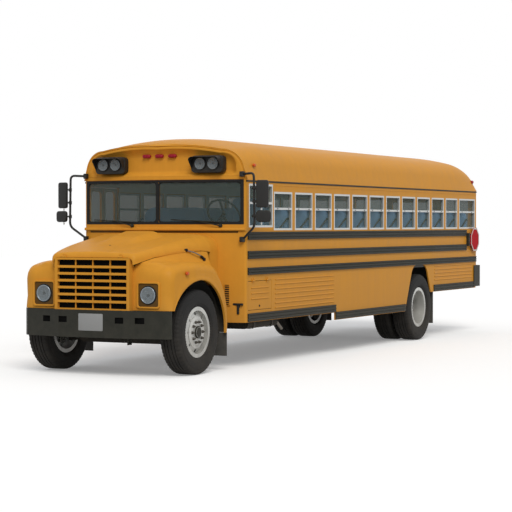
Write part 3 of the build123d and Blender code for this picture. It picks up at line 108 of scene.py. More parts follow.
def lathe(profile, origin, direction, steps=40, closed=False):
    # Profile rows are (along, radius): point = origin + along d + radius (cos a u + sin a w).
    d, u, w = basis(direction)
    p = np.array(profile, float)
    a = np.linspace(0, 2 * np.pi, steps, endpoint=False)[:, None, None]
    co = np.array(origin, float) + p[None, :, :1] * d + p[None, :, 1:] * (np.cos(a) * u + np.sin(a) * w)
    n = len(p)
    faces = [quads(steps, n, True, closed)]
    if not closed:
        ring = np.arange(steps)[None] * n
        faces += [ring[:, ::-1], ring + n - 1]
    return co.reshape(-1, 3), faces


def tube(path, radius, count=10, up=upward):
    # Rings square to the path: point = path + radius (cos a u + sin a w), with u level to up.
    p = np.array(path, float)
    t = unit(np.gradient(p, axis=0))
    u = unit(np.cross(t, np.array(up, float)))
    w = np.cross(u, t)
    a = np.linspace(0, 2 * np.pi, count, endpoint=False)[None, :, None]
    r = np.broadcast_to(np.array(radius, float), len(p))[:, None, None]
    return loft(p[:, None] + r * (np.cos(a) * u[:, None] + np.sin(a) * w[:, None]))


def bend(points, radius, steps):
    # Polyline whose inner corners are replaced by quadratic curves that start radius away from the corner.
    points = np.array(points, float)
    out = [points[:1]]
    t = np.linspace(0, 1, steps)[:, None]
    for a, b, c in zip(points[:-2], points[1:-1], points[2:]):
        start = b + unit(a - b) * radius
        end = b + unit(c - b) * radius
        out.append((1 - t) ** 2 * start + 2 * t * (1 - t) * b + t ** 2 * end)
    out.append(points[-1:])
    return np.vstack(out)


def roundRect(a, b, r, steps=4):
    # Rectangle of half sizes a and b, each corner a quarter circle of radius r.
    angle = np.linspace(0, np.pi / 2, steps)[None] + np.arange(4)[:, None] * np.pi / 2
    sx = np.array([1, -1, -1, 1])[:, None]
    sy = np.array([1, 1, -1, -1])[:, None]
    return np.stack([sx * (a - r) + r * np.cos(angle), sy * (b - r) + r * np.sin(angle)], -1).reshape(-1, 2)


def slab(centre, half, corner, edge, axis=0, steps=3, cornerSteps=4):
    # Round-cornered block: its outline shrinks by edge (1 - sin t) over the last edge of its depth.
    t = np.linspace(0, np.pi / 2, steps)
    t = np.concatenate([t, t[::-1]])
    sign = np.repeat([1, -1], steps)
    others = [k for k in range(3) if k != axis]
    a, b = (half[k] for k in others)
    rings = []
    for angle, way in zip(t, sign):
        inset = edge * (1 - math.sin(angle))
        flat = roundRect(a - inset, b - inset, max(corner - inset, corner / 4), cornerSteps)
        ring = np.zeros((len(flat), 3))
        ring[:, others] = flat
        ring[:, axis] = way * (half[axis] - edge + edge * math.cos(angle))
        rings.append(ring + np.array(centre, float))
    return loft(rings)


def shell(grid, thick, inside):
    # Closed sheet: the grid, the same grid moved by thick towards the point inside, and strips round the edges.
    g = np.array(grid, float)
    m, n = g.shape[:2]
    normal = unit(np.cross(np.gradient(g, axis=0), np.gradient(g, axis=1)) + 1e-12)
    if np.sum(normal * (g - np.array(inside, float))) < 0:
        normal = -normal
    both = np.vstack([g.reshape(-1, 3), (g - thick * normal).reshape(-1, 3)])
    face = quads(m, n)
    back = m * n
    strips = []
    for line in (np.arange(n), np.arange(n) + (m - 1) * n, np.arange(m) * n, np.arange(m) * n + n - 1):
        here, after = line[:-1], line[1:]
        strips.append(np.stack([here, after, after + back, here + back], -1))
    return both, [face, face[:, ::-1] + back] + strips


def scatter(part, places):
    # A copy of the part at each place.
    co, faces = part
    places = np.array(places, float).reshape(-1, 3)
    shift = np.arange(len(places))[:, None, None] * len(co)
    return (co[None] + places[:, None]).reshape(-1, 3), [(f[None] + shift).reshape(-1, f.shape[1]) for f in faces]


def mirrored(part):
    return part[0] * np.array([1, -1, 1.0]), part[1]


def turned(part, pivot, axis, angle):
    # Turn about the axis d through the pivot: v cos + (d x v) sin + d (d . v) (1 - cos).
    d = unit(np.array(axis, float))
    v = part[0] - np.array(pivot, float)
    c, s = math.cos(angle), math.sin(angle)
    co = v * c + np.cross(d, v) * s + (v @ d)[:, None] * d * (1 - c)
    return co + np.array(pivot, float), part[1]


def smoothStep(a, b, v):
    # 0 below a, 1 above b and t t (3 - 2 t) between.
    t = np.clip((v - a) / (b - a), 0, 1)
    return t * t * (3 - 2 * t)


def bowX(y):
    # The bowed front: a circle whose middle stands forward of the body's corners by the rise.
    return bodyX + bow["rise"] - bow["radius"] + np.sqrt(bow["radius"] ** 2 - np.square(y))


def alongBow(section, half, steps=61):
    # Closed section of (out, z) pairs carried along the bowed front from -half to half.
    out, z = np.array(section, float).T
    y = np.linspace(-half, half, steps)[:, None] + 0 * z
    return loft(np.stack([bowX(y) + out, y, z + 0 * y], -1))


def addPiece(name, parts, material, replaces=(), body="chassis", sharp=35, within=None):
    # Parts are (points, list of face arrays). Within is a second finish, for a shell's inner sheet.
    co, loops, sizes = [], [], []
    base = 0
    for points, faces in parts:
        co.append(points)
        for f in faces:
            loops.append((f + base).ravel())
            sizes.append(np.full(len(f), f.shape[1]))
        base += len(points)
    co, loops, sizes = np.vstack(co), np.concatenate(loops), np.concatenate(sizes)
    mesh = bpy.data.meshes.new(name)
    mesh.vertices.add(len(co))
    mesh.vertices.foreach_set("co", co.ravel().astype(np.float32))
    mesh.loops.add(len(loops))
    mesh.loops.foreach_set("vertex_index", loops.astype(np.int32))
    mesh.polygons.add(len(sizes))
    mesh.polygons.foreach_set("loop_start", np.concatenate([[0], np.cumsum(sizes)[:-1]]).astype(np.int32))
    mesh.update(calc_edges=True)
    soup = bmesh.new()
    soup.from_mesh(mesh)
    bmesh.ops.recalc_face_normals(soup, faces=soup.faces)
    soup.to_mesh(mesh)
    soup.free()
    mesh.polygons.foreach_set("use_smooth", np.ones(len(mesh.polygons), bool))
    mesh.set_sharp_from_angle(angle=math.radians(sharp))
    mesh.materials.append(material)
    if within:
        # Inner sheet of the first part, which is its second block of faces
        mesh.materials.append(within)
        first, second = (len(f) for f in parts[0][1][:2])
        index = np.zeros(len(sizes), np.int32)
        index[first:first + second] = 1
        mesh.polygons.foreach_set("material_index", index)
    obj = bpy.data.objects.new(name, mesh)
    bpy.context.scene.collection.objects.link(obj)
    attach(obj, body)
    if replaces:
        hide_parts(*replaces)
    return obj


# Camera, set from the photo
view = {"place": (22.76083, 10.98577, 1.842), "yaw": 0.46585, "pitch": -0.01904, "lens": 119.53, "sensor": 36,
        "far": 400}
scene = bpy.context.scene
camera = bpy.data.objects.new("camera", bpy.data.cameras.new("camera"))
scene.collection.objects.link(camera)
scene.camera = camera
camera.data.sensor_width = view["sensor"]
camera.data.lens = view["lens"]
camera.data.clip_end = view["far"]
camera.location = view["place"]
camera.rotation_mode = "QUATERNION"
yaw, pitch = view["yaw"], view["pitch"]
aim = Vector((-math.cos(yaw) * math.cos(pitch), -math.sin(yaw) * math.cos(pitch), math.sin(pitch)))
camera.rotation_quaternion = aim.to_track_quat("-Z", "Y")
scene.view_settings.view_transform = "Standard"


# Light: an even pale sky, white where the camera sees it, and one large soft key
def put(tree, kind, inputs=None, **settings):
    # A shader node, its settings and its inputs, where a socket as the value means a link.
    node = tree.nodes.new("ShaderNode" + kind)
    for key, value in settings.items():
        setattr(node, key, value)
    for key, value in (inputs or {}).items():
        if isinstance(value, bpy.types.NodeSocket):
            tree.links.new(value, node.inputs[key])
        else:
            node.inputs[key].default_value = value
    return node


studio = {"sky": 0.5, "skyColour": (0.95, 0.97, 1.0, 1), "key": 1.75, "keyColour": (1.0, 0.97, 0.92), "keySoft": 30,
          "keyFrom": (0.78, 0.62, 0.95), "behindGlass": 0.13, "floor": (0.5, 0.5, 0.5, 1), "floorRadius": 70,
          "floorZ": -0.002, "floorSides": 96, "floorPale": 0.93, "floorGlow": 0.22}
world = bpy.data.worlds.new("studio")
scene.world = world
world.use_nodes = True
tree = world.node_tree
tree.nodes.clear()


def seenRays(tree):
    # 1 for rays that show the backdrop, and its brightness: white in the open, dim behind the bus's own glass.
    rays = put(tree, "LightPath").outputs
    seen = put(tree, "Math", {0: rays["Is Camera Ray"], 1: rays["Is Transmission Ray"]}, operation="MAXIMUM")
    seen = put(tree, "Math", {0: seen.outputs[0], 1: rays["Is Glossy Ray"]}, operation="MAXIMUM")
    level = put(tree, "MapRange", {"Value": rays["Transparent Depth"], "From Min": 0.0, "From Max": 1.0,
                                   "To Min": 1.0, "To Max": studio["behindGlass"]})
    return seen.outputs[0], level.outputs[0]


seen, level = seenRays(tree)
sky = put(tree, "Background", {"Color": studio["skyColour"], "Strength": studio["sky"]})
white = put(tree, "Background", {"Color": (1, 1, 1, 1), "Strength": level})
mixed = put(tree, "MixShader", {0: seen, 1: sky.outputs[0], 2: white.outputs[0]})
output = tree.nodes.new("ShaderNodeOutputWorld")
tree.links.new(mixed.outputs[0], output.inputs["Surface"])
sun = bpy.data.objects.new("key", bpy.data.lights.new("key", "SUN"))
sun.data.energy = studio["key"]
sun.data.color = studio["keyColour"]
sun.data.angle = math.radians(studio["keySoft"])
sun.rotation_mode = "QUATERNION"
sun.rotation_quaternion = Vector(studio["keyFrom"]).to_track_quat("Z", "Y")
scene.collection.objects.link(sun)

# Floor: a disc whose edge is far behind everything
floorMesh = bpy.data.meshes.new("floorDisc")
angles = np.linspace(0, 2 * np.pi, studio["floorSides"], endpoint=False)
discEdge = np.stack([studio["floorRadius"] * np.cos(angles), studio["floorRadius"] * np.sin(angles),
                     np.full(len(angles), studio["floorZ"])], -1)
floorMesh.from_pydata(discEdge.tolist(), [], [list(range(len(angles)))])
floorDisc = bpy.data.objects.new("floorDisc", floorMesh)
scene.collection.objects.link(floorDisc)
floorPaint = bpy.data.materials.new("floorPaint")
floorPaint.use_nodes = True
tree = floorPaint.node_tree
tree.nodes.clear()
seen, level = seenRays(tree)
plain = put(tree, "BsdfDiffuse", {"Color": studio["floor"]})
lit = put(tree, "VectorMath", {0: (studio["floorPale"],) * 3}, operation="SCALE")
tree.links.new(level, lit.inputs["Scale"])
pale = put(tree, "BsdfDiffuse", {"Color": lit.outputs[0]})
glowLevel = put(tree, "Math", {0: level, 1: studio["floorGlow"]}, operation="MULTIPLY").outputs[0]
glow = put(tree, "Emission", {"Color": (1, 1, 1, 1), "Strength": glowLevel})
pale = put(tree, "AddShader", {0: pale.outputs[0], 1: glow.outputs[0]})
mixed = put(tree, "MixShader", {0: seen, 1: plain.outputs[0], 2: pale.outputs[0]})
output = tree.nodes.new("ShaderNodeOutputMaterial")
tree.links.new(mixed.outputs[0], output.inputs["Surface"])
floorMesh.materials.append(floorPaint)
print("camera and light set")


# Shared effects: ageing of a colour, and a fine relief
def newGroup(name, inputs, outputs):
    # A node group with named sockets, and its own input and output nodes.
    tree = bpy.data.node_groups.new(name, "ShaderNodeTree")
    for label, kind, value in inputs:
        socket = tree.interface.new_socket(label, in_out="INPUT", socket_type="NodeSocket" + kind)
        socket.default_value = value
    for label, kind in outputs:
        tree.interface.new_socket(label, in_out="OUTPUT", socket_type="NodeSocket" + kind)
    return tree, tree.nodes.new("NodeGroupInput"), tree.nodes.new("NodeGroupOutput")


# Ageing: the colour times 1 + mottle (three noises less 1.5), then dust that thins out towards Dirt Top
dustColour = (0.17, 0.145, 0.115, 1)
ageing, given, made = newGroup(
    "ageing",
    [("Color", "Color", (0.5, 0.5, 0.5, 1)), ("Mottle", "Float", 0.1), ("Dirt", "Float", 0.3),
     ("Dirt Top", "Float", 1.3), ("Roughness", "Float", 0.4)],
    [("Color", "Color"), ("Roughness", "Float")],
)
place = put(ageing, "TexCoord").outputs["Object"]
broad = put(ageing, "TexNoise", {"Vector": place, "Scale": 1.1, "Detail": 5.0, "Roughness": 0.6}).outputs["Fac"]
fine = put(ageing, "TexNoise", {"Vector": place, "Scale": 9.0, "Detail": 6.0, "Roughness": 0.65}).outputs["Fac"]
stretched = put(ageing, "Mapping", {"Vector": place, "Scale": (7.0, 7.0, 0.45)}).outputs[0]
streak = put(ageing, "TexNoise", {"Vector": stretched, "Scale": 1.6, "Detail": 4.0}).outputs["Fac"]
tone = put(ageing, "Math", {0: broad, 1: streak}, operation="ADD").outputs[0]
tone = put(ageing, "Math", {0: tone, 1: fine}, operation="ADD").outputs[0]
tone = put(ageing, "Math", {0: tone, 1: 1.5}, operation="SUBTRACT").outputs[0]
gain = put(ageing, "Math", {0: tone, 1: given.outputs["Mottle"], 2: 1.0}, operation="MULTIPLY_ADD").outputs[0]
toned = put(ageing, "VectorMath", {0: given.outputs["Color"]}, operation="SCALE")
ageing.links.new(gain, toned.inputs["Scale"])
height = put(ageing, "SeparateXYZ", {0: place}).outputs["Z"]
low = put(ageing, "MapRange", {"Value": height, "From Min": 0.2, "From Max": given.outputs["Dirt Top"],
                               "To Min": 1.0, "To Max": 0.0}, interpolation_type="SMOOTHSTEP").outputs[0]
patch = put(ageing, "MapRange", {"Value": fine, "From Min": 0.3, "From Max": 0.7, "To Min": 0.25,
                                 "To Max": 1.0}).outputs[0]
dust = put(ageing, "Math", {0: low, 1: patch}, operation="MULTIPLY").outputs[0]
dust = put(ageing, "Math", {0: dust, 1: given.outputs["Dirt"]}, operation="MULTIPLY").outputs[0]
dusty = put(ageing, "Mix", {"Factor": dust, "A": toned.outputs[0], "B": dustColour}, data_type="RGBA")
dusty = [s for s in dusty.outputs if s.type == "RGBA"][0]
rougher = put(ageing, "Math", {0: dust, 1: 0.4, 2: given.outputs["Roughness"]}, operation="MULTIPLY_ADD").outputs[0]
rougher = put(ageing, "Math", {0: tone, 1: 0.12, 2: rougher}, operation="MULTIPLY_ADD", use_clamp=True).outputs[0]
ageing.links.new(dusty, made.inputs["Color"])
ageing.links.new(rougher, made.inputs["Roughness"])

# Relief: a fine pebble bump under a broad ripple of the sheet metal
relief, given, made = newGroup(
    "relief",
    [("Scale", "Float", 300.0), ("Depth", "Float", 0.1), ("Ripple", "Float", 0.0)],
    [("Normal", "Vector")],
)
place = put(relief, "TexCoord").outputs["Object"]
pebble = put(relief, "TexNoise", {"Vector": place, "Scale": given.outputs["Scale"], "Detail": 2.0}).outputs["Fac"]
waves = put(relief, "TexNoise", {"Vector": place, "Scale": 2.2, "Detail": 1.0}).outputs["Fac"]
small = put(relief, "Bump", {"Strength": given.outputs["Depth"], "Distance": 0.002, "Height": pebble}).outputs[0]
large = put(relief, "Bump", {"Strength": given.outputs["Ripple"], "Distance": 0.03, "Height": waves,
                             "Normal": small})
relief.links.new(large.outputs[0], made.inputs["Normal"])


def srgb(*values):
    # Display values from 0 to 255 as linear light, with an alpha of 1.
    v = np.array(values, float) / 255
    return tuple(np.where(v <= 0.04045, v / 12.92, ((v + 0.055) / 1.055) ** 2.4)) + (1,)


def makeMaterial(name, colour, rough=0.5, metal=0.0, mottle=0.12, dirt=0.3, dirtTop=1.3, grain=300.0, depth=0.08,
                 ripple=0.0, alpha=1.0, specular=0.5):
    # A Principled shader behind the ageing group, and the relief group where there is any relief.
    made = bpy.data.materials.new(name)
    made.use_nodes = True
    tree = made.node_tree
    shader = tree.nodes["Principled BSDF"]
    aged = put(tree, "Group", {"Color": colour, "Mottle": mottle, "Dirt": dirt, "Dirt Top": dirtTop,
                               "Roughness": rough}, node_tree=ageing)
    tree.links.new(aged.outputs["Color"], shader.inputs["Base Color"])
    tree.links.new(aged.outputs["Roughness"], shader.inputs["Roughness"])
    if depth or ripple:
        bumps = put(tree, "Group", {"Scale": grain, "Depth": depth, "Ripple": ripple}, node_tree=relief)
        tree.links.new(bumps.outputs["Normal"], shader.inputs["Normal"])
    shader.inputs["Metallic"].default_value = metal
    shader.inputs["Alpha"].default_value = alpha
    shader.inputs["Specular IOR Level"].default_value = specular
    made.diffuse_color = colour
    return made


yellow = srgb(212, 147, 50)
creamDoor = srgb(206, 202, 176)
yellowLook = {"mottle": 0.13, "grain": 420, "depth": 0.05, "specular": 0.09}
glassLook = {"mottle": 0.05, "dirt": 0.0, "depth": 0.0}
lensLook = {"mottle": 0.1, "dirt": 0.0, "grain": 500, "depth": 0.3, "specular": 0.2}
paint = makeMaterial("yellowPaint", yellow, 0.46, dirt=0.22, ripple=0.05, **yellowLook)
blackPaint = makeMaterial("blackPaint", srgb(47, 47, 41), 0.5, mottle=0.25, dirt=0.2, grain=200, depth=0.12,
                          specular=0.1)
chassisBlack = makeMaterial("chassisBlack", srgb(40, 39, 36), 0.6, mottle=0.3, dirt=0.4, grain=120, depth=0.25,
                            specular=0.1)
bumperGrey = makeMaterial("bumperGrey", srgb(45, 46, 41), 0.45, mottle=0.25, dirt=0.15, grain=240, specular=0.1)
wheelSilver = makeMaterial("wheelSilver", srgb(198, 198, 194), 0.36, metal=0.5, mottle=0.5, dirt=0.45, dirtTop=0.9,
                           grain=160, depth=0.1)
signRed = makeMaterial("signRed", srgb(184, 22, 34), 0.45, mottle=0.08, dirt=0.05, depth=0.0, specular=0.02)
signWhite = makeMaterial("signWhite", srgb(206, 206, 200), 0.5, mottle=0.06, dirt=0.05, depth=0.0, specular=0.1)
plateGrey = makeMaterial("plateGrey", srgb(142, 143, 143), 0.45, metal=0.2, dirt=0.2, grain=120, depth=0.1)
castIron = makeMaterial("castIron", srgb(74, 72, 68), 0.7, metal=0.3, mottle=0.4, dirt=0.6, grain=90, depth=0.4)
pipeSteel = makeMaterial("pipeSteel", srgb(130, 124, 116), 0.45, metal=0.8, mottle=0.4, dirt=0.4, grain=150,
                         depth=0.15)
sashMetal = makeMaterial("sashMetal", srgb(196, 198, 196), 0.34, metal=0.6, dirt=0.1, depth=0.04)
chrome = makeMaterial("brightMetal", srgb(214, 214, 210), 0.16, metal=0.95, mottle=0.1, dirt=0.15, depth=0.0)
rubber = makeMaterial("blackRubber", srgb(30, 31, 31), 0.62, mottle=0.2, dirt=0.2, grain=260, depth=0.15,
                      specular=0.15)
trim = makeMaterial("trimPlastic", srgb(36, 36, 35), mottle=0.15, dirt=0.1, grain=320, depth=0.2, specular=0.25)
floorRubber = makeMaterial("floorRubber", srgb(60, 60, 58), 0.7, mottle=0.25, grain=90, depth=0.3)
vinyl = makeMaterial("seatVinyl", srgb(138, 188, 232), 0.48, mottle=0.1, dirt=0.0, grain=380, depth=0.25,
                     specular=0.3)
tyreRubber = makeMaterial("tyreRubber", srgb(38, 38, 38), 0.66, mottle=0.25, dirt=0.2, dirtTop=1.0, grain=170,
                          depth=0.2, specular=0.12)
reflector = makeMaterial("lampReflector", srgb(150, 160, 168), 0.3, metal=0.45, mottle=0.1, dirt=0.0, grain=60,
                         depth=0.05)
# Dark brown that stands in for shade in the headlamp recesses and under the screen ledge: painted shade
recessShade = makeMaterial("recessShade", srgb(92, 66, 28), 0.6, mottle=0.3, depth=0.1, specular=0.1)
liningCream = makeMaterial("liningCream", srgb(218, 216, 196), 0.6, mottle=0.1, dirt=0.0, grain=120, depth=0.1,
                           specular=0.2)
# Near black that stands in for the shade inside the grille and the bumper's slots: painted shade
paintedShadeBlack = makeMaterial("paintedShadeBlack", srgb(20, 20, 20), 0.8, mottle=0.2, dirt=0.0, depth=0.0, specular=0.0)
pane = makeMaterial("paneGlass", srgb(118, 138, 130), 0.05, alpha=0.18, specular=0.3, **glassLook)
screen = makeMaterial("screenGlass", srgb(84, 98, 94), 0.05, alpha=0.26, specular=0.4, **glassLook)
clearLens = makeMaterial("clearLens", srgb(150, 158, 160), 0.1, alpha=0.22, **glassLook)
redLens = makeMaterial("redLens", srgb(150, 22, 44), 0.3, **lensLook)
amberLens = makeMaterial("amberLens", srgb(205, 84, 22), 0.3, **lensLook)
mirrorGlass = makeMaterial("mirrorGlass", srgb(200, 205, 208), 0.04, metal=1.0, mottle=0.04, dirt=0.0, depth=0.0)

# Entry doors: yellow outside, pale inside, told apart by the face's direction across the bus
doorPaint = makeMaterial("doorPaint", yellow, 0.46, dirt=0.15, **yellowLook)
tree = doorPaint.node_tree
sideways = put(tree, "SeparateXYZ", {0: put(tree, "TexCoord").outputs["Normal"]}).outputs["Y"]
inward = put(tree, "Math", {0: sideways, 1: 0.3}, operation="GREATER_THAN").outputs[0]
twoTone = put(tree, "Mix", {"Factor": inward, "A": yellow, "B": creamDoor}, data_type="RGBA")
aged = [node for node in tree.nodes if node.type == "GROUP" and node.node_tree == ageing][0]
tree.links.new([out for out in twoTone.outputs if out.type == "RGBA"][0], aged.inputs["Color"])

# Finish of every CAD node, by the record's slot
slotPaint = {
    "yellow_paint": paint, "black_paint": blackPaint, "chassis_black": chassisBlack, "bumper_grey": bumperGrey,
    "wheel_silver": wheelSilver, "sign_red": signRed, "cast": castIron, "pipe_steel": pipeSteel,
    "sash_metal": sashMetal, "pane": pane, "lamp_clear": clearLens, "lamp_red": redLens, "seat_vinyl": vinyl,
    "floor_rubber": floorRubber, "trim_plastic": trim, "tyre_rubber": tyreRubber,
}
nodePaint = {"windshield": screen, "entry_door_front": doorPaint, "entry_door_rear": doorPaint}
slotOf = {part["node"]: part["material_slot"] for part in frame["record"]["subparts"]}
for node, obj in frame["nodes"].items():
    obj.data.materials.clear()
    obj.data.materials.append(nodePaint.get(node, slotPaint[slotOf[node]]))
print("materials made")

# Tyres: ribbed tread with notched shoulders, a half profile of (along the axle, radius) mirrored
tyre = {"steps": 240, "notchDepth": 0.007, "notchFrom": 0.1, "notchTo": 0.13, "frontY": 0.945,
        "rearY": (0.738, 1.068)}
tyreHalf = np.array([
    (0.0, 0.52), (0.019, 0.52), (0.0215, 0.508), (0.0285, 0.508), (0.031, 0.52), (0.06, 0.5198), (0.0625, 0.5075),
    (0.0695, 0.5075), (0.072, 0.5195), (0.102, 0.519), (0.117, 0.514), (0.1265, 0.504), (0.1315, 0.49),
    (0.1345, 0.468), (0.1365, 0.452), (0.1392, 0.4495), (0.1398, 0.44), (0.1398, 0.4025), (0.1385, 0.376),
    (0.135, 0.3525), (0.1318, 0.3505), (0.126, 0.335), (0.1185, 0.3225), (0.1125, 0.3215), (0.107, 0.313),
    (0.105, 0.3), (0.105, 0.29)])


def treadTyre(x, y):
    # Profile (v, r) turned round the axle: (x + r cos a, y + v, hub + r sin a), r less in the notches.
    profile = np.vstack([tyreHalf[::-1], tyreHalf[1:] * [-1, 1]])
    a = np.linspace(0, 2 * np.pi, tyre["steps"], endpoint=False)[:, None]
    v = np.broadcast_to(profile[:, 0], (tyre["steps"], len(profile)))
    shoulder = (np.abs(v) > tyre["notchFrom"]) & (np.abs(v) < tyre["notchTo"])
    r = profile[:, 1] - tyre["notchDepth"] * (shoulder & (np.arange(tyre["steps"])[:, None] % 4 < 2))
    return hoop(np.stack([x + r * np.cos(a), y + v, hubHeight + r * np.sin(a)], -1))


for side, name in sides:
    addPiece(f"tread_front_{name}", [treadTyre(frontAxle, side * tyre["frontY"])], tyreRubber,
             [f"tyre_front_{name}"], f"wheel_front_{name}")
    addPiece(f"tread_rear_{name}", [treadTyre(rearAxle, side * y) for y in tyre["rearY"]], tyreRubber,
             [f"tyres_rear_{name}"], f"wheels_rear_{name}")
print("tyres made")

# Wheel nuts, hub caps and the rear hubs' flanges, profiles as (along the axle, radius)
wheelNuts = {"circle": 0.128, "count": 10, "radius": 0.017, "high": 0.022, "stud": 0.009, "studHigh": 0.036}
hubs = {
    "front": {"x": frontAxle, "body": "wheel_front_", "finish": blackPaint, "face": 1.052, "cap": 1.068,
              "profile": [(-0.012, 0.076), (0.0, 0.0765), (0.003, 0.074), (0.004, 0.064), (0.009, 0.061),
                          (0.0105, 0.05), (0.0112, 0.03), (0.0115, 0.006)],
              "bolt": [(0, 0.0065), (0.004, 0.0065), (0.0055, 0.004)], "boltY": 1.0725, "circle": 0.056,
              "count": 6},
    "rear": {"x": rearAxle, "body": "wheels_rear_", "finish": castIron, "face": 0.915, "cap": 1.058,
             "profile": [(-0.05, 0.0755), (-0.03, 0.0765), (-0.022, 0.098), (-0.004, 0.1), (0.0, 0.097),
                         (0.002, 0.07), (0.0105, 0.064), (0.012, 0.05), (0.012, 0.008)],
             "bolt": [(0, 0.01), (0.006, 0.01), (0.009, 0.006)], "boltY": 1.058, "circle": 0.084, "count": 8},
}


def around(part, x, y, ring):
    # Copies of a part made at the origin, spread round the axle line on the ring's circle.
    a = np.arange(ring["count"]) * 2 * np.pi / ring["count"]
    spots = [x + ring["circle"] * np.cos(a), np.full(len(a), y), hubHeight + ring["circle"] * np.sin(a)]
    return scatter(part, np.stack(spots, -1))


for side, name in sides:
    out = (0, side, 0)
    wide, high, stud, studHigh = (wheelNuts[key] for key in ("radius", "high", "stud", "studHigh"))
    nut = lathe([(0, wide * 1.25), (0.004, wide * 1.25), (0.0045, wide), (high - 0.003, wide), (high, wide * 0.75)],
                (0, 0, 0), out, 6)
    stud = lathe([(0, stud), (studHigh - 0.002, stud), (studHigh, stud * 0.7)], (0, 0, 0), out, 8)
    for end, hub in hubs.items():
        body = hub["body"] + name
        fixed = [around(part, hub["x"], side * hub["face"], wheelNuts) for part in (nut, stud)]
        addPiece(f"wheel_nuts_{end}_{name}", fixed, castIron, body=body)
        cap = lathe(hub["profile"], (hub["x"], side * hub["cap"], hubHeight), out, 40)
        bolts = around(lathe(hub["bolt"], (0, 0, 0), out, 6), hub["x"], side * hub["boltY"], hub)
        addPiece(f"hub_cap_{end}_{name}", [cap, bolts], hub["finish"], body=body)
print("wheels made")

# Hood: cubic runs of half width, top and shoulder radius through the four CAD sections, with a centre rise
hoodAt = np.array([5.31, 4.895, 4.395, 3.895])
hoodHalf = np.polyfit(hoodAt, [0.585, 0.715, 0.79, 0.857], 3)
hoodTop = np.polyfit(hoodAt, [1.478, 1.555, 1.635, 1.705], 3)
hoodShoulder = np.polyfit(hoodAt, [0.07, 0.11, 0.15, 0.19], 3)
hoodSeam = np.polyfit([5.355, 4.895, 3.845], [1.335, 1.457, 1.478], 2)
hoodShape = {
    "stations": 110, "nose": 0.044, "noseBack": 5.25, "crown": 0.02, "thick": 0.012, "hingeY": 0.4,
    "riseEnd": (4.07, 4.2), "riseStart": (4.6, 5.0), "flare": (-0.03, 0.15),
    "crest": ([4.07, 4.165, 4.545, 5.015], [1.757, 1.755, 1.685, 1.545]), "dip": ([4.9, 5.015], [0.0, -0.02]),
    "riseHalf": ([4.165, 4.545, 5.015], [0.215, 0.185, 0.14]),
}


def hoodGrid():
    # Rows run back from the nose; columns go from one seam over the top to the other.
    nose, crown, stations = hoodShape["nose"], hoodShape["crown"], hoodShape["stations"]
    roll = np.linspace(0, np.pi / 2, 9)
    x = np.concatenate([hoodAt[0] - nose * (1 - np.cos(roll)),
                        np.linspace(hoodShape["noseBack"], hoodAt[-1], stations)])
    inset = np.concatenate([nose * (1 - np.sin(roll)), np.zeros(stations)])[:, None]
    half = np.polyval(hoodHalf, x)[:, None] - inset * 0.5
    top = np.polyval(hoodTop, x)[:, None] - inset
    soft = np.polyval(hoodShoulder, x)[:, None]
    seam = np.polyval(hoodSeam, x)[:, None]
    side = np.linspace(0, 1, 4)[None]
    turn = np.linspace(0, np.pi / 2, 11)[None, 1:]
    over = np.linspace(1, 0, 27)[None, 1:]
    y = np.hstack([half + 0 * side, half - soft + soft * np.cos(turn), (half - soft) * over])
    z = np.hstack([seam + (top - soft - seam) * side, top - soft + soft * np.sin(turn),
                   top + crown * (1 - over ** 2) * (1 - inset / nose)])
    crest = np.interp(x, *hoodShape["dip"]) + np.interp(x, *hoodShape["crest"])
    fade = smoothStep(*hoodShape["riseEnd"], x) * (1 - smoothStep(*hoodShape["riseStart"], x))
    height = np.maximum(crest[:, None] - top - crown, 0) * fade[:, None]
    wide = np.interp(x, *hoodShape["riseHalf"])[:, None]
    z += height * (1 - smoothStep(*hoodShape["flare"], y - wide)) * (z > top - soft)
    halfGrid = np.stack([np.broadcast_to(x[:, None], y.shape), y, z], -1)
    return np.concatenate([halfGrid, halfGrid[:, -2::-1] * [1, -1, 1]], 1)


def hinge(y):
    # A pin across the bus and its plate, under the hood's nose.
    return [lathe([(-0.02, 0.01), (0.02, 0.01)], (5.322, y, 1.442), acrossBus, 12),
            slab((5.31, y, 1.46), (0.004, 0.02, 0.018), 0.003, 0.002)]


hoodParts = [shell(hoodGrid(), hoodShape["thick"], inside=(4.5, 0, 1.2))]
addPiece("hood_skin", hoodParts + hinge(hoodShape["hingeY"]) + hinge(-hoodShape["hingeY"]), paint,
         ["hood"], "hood", 50)

# Fenders: in polar form round the wheel, r(angle) of an inner edge below the hood and of an outer edge, blended
# across. Runs are (at, value): the ridge's z and the side's y over x, the soft edges over the angle in degrees.
fenderShape = {
    "rows": 130, "archR": 0.62, "archZ": 0.54, "from": 22.28, "to": 185.0, "archFrom": 25.0, "archTo": 185.5,
    "front": 0.64, "back": -0.695, "lip": 0.03, "bead": 0.006, "thick": 0.012,
    "ridge": ([3.9, 3.995, 4.245, 4.725, 5.145, 5.235], [1.285, 1.303, 1.347, 1.375, 1.384, 1.37]),
    "side": ([3.9, 4.725, 5.175, 5.235], [1.12, 1.104, 1.045, 1.03]),
    "softY": ([22, 45, 60, 115, 140, 185], [0.14, 0.15, 0.13, 0.12, 0.07, 0.04]),
    "softR": ([22, 60, 115, 185], [0.12, 0.11, 0.11, 0.05]),
}


def arcThrough(a, b, c, count):
    # Points of the circle through three points.
    a, b, c = (np.array(p, float) for p in (a, b, c))
    m = 2 * np.array([b - a, c - a])
    centre = np.linalg.solve(m, [b @ b - a @ a, c @ c - a @ a])
    start, mid, end = (math.atan2(*(p - centre)[::-1]) for p in (a, b, c))
    if not min(start, end) < mid < max(start, end):
        end += -2 * math.pi if end > start else 2 * math.pi
    t = np.linspace(start, end, count)
    return centre + np.linalg.norm(a - centre) * np.stack([np.cos(t), np.sin(t)], -1)


def polar(radius, angle):
    # (x, z) at a radius and an angle round the front wheel arch.
    return np.stack([frontAxle + radius * np.cos(angle), fenderShape["archZ"] + radius * np.sin(angle)], -1)


def sideY(x):
    return np.interp(x, *fenderShape["side"])


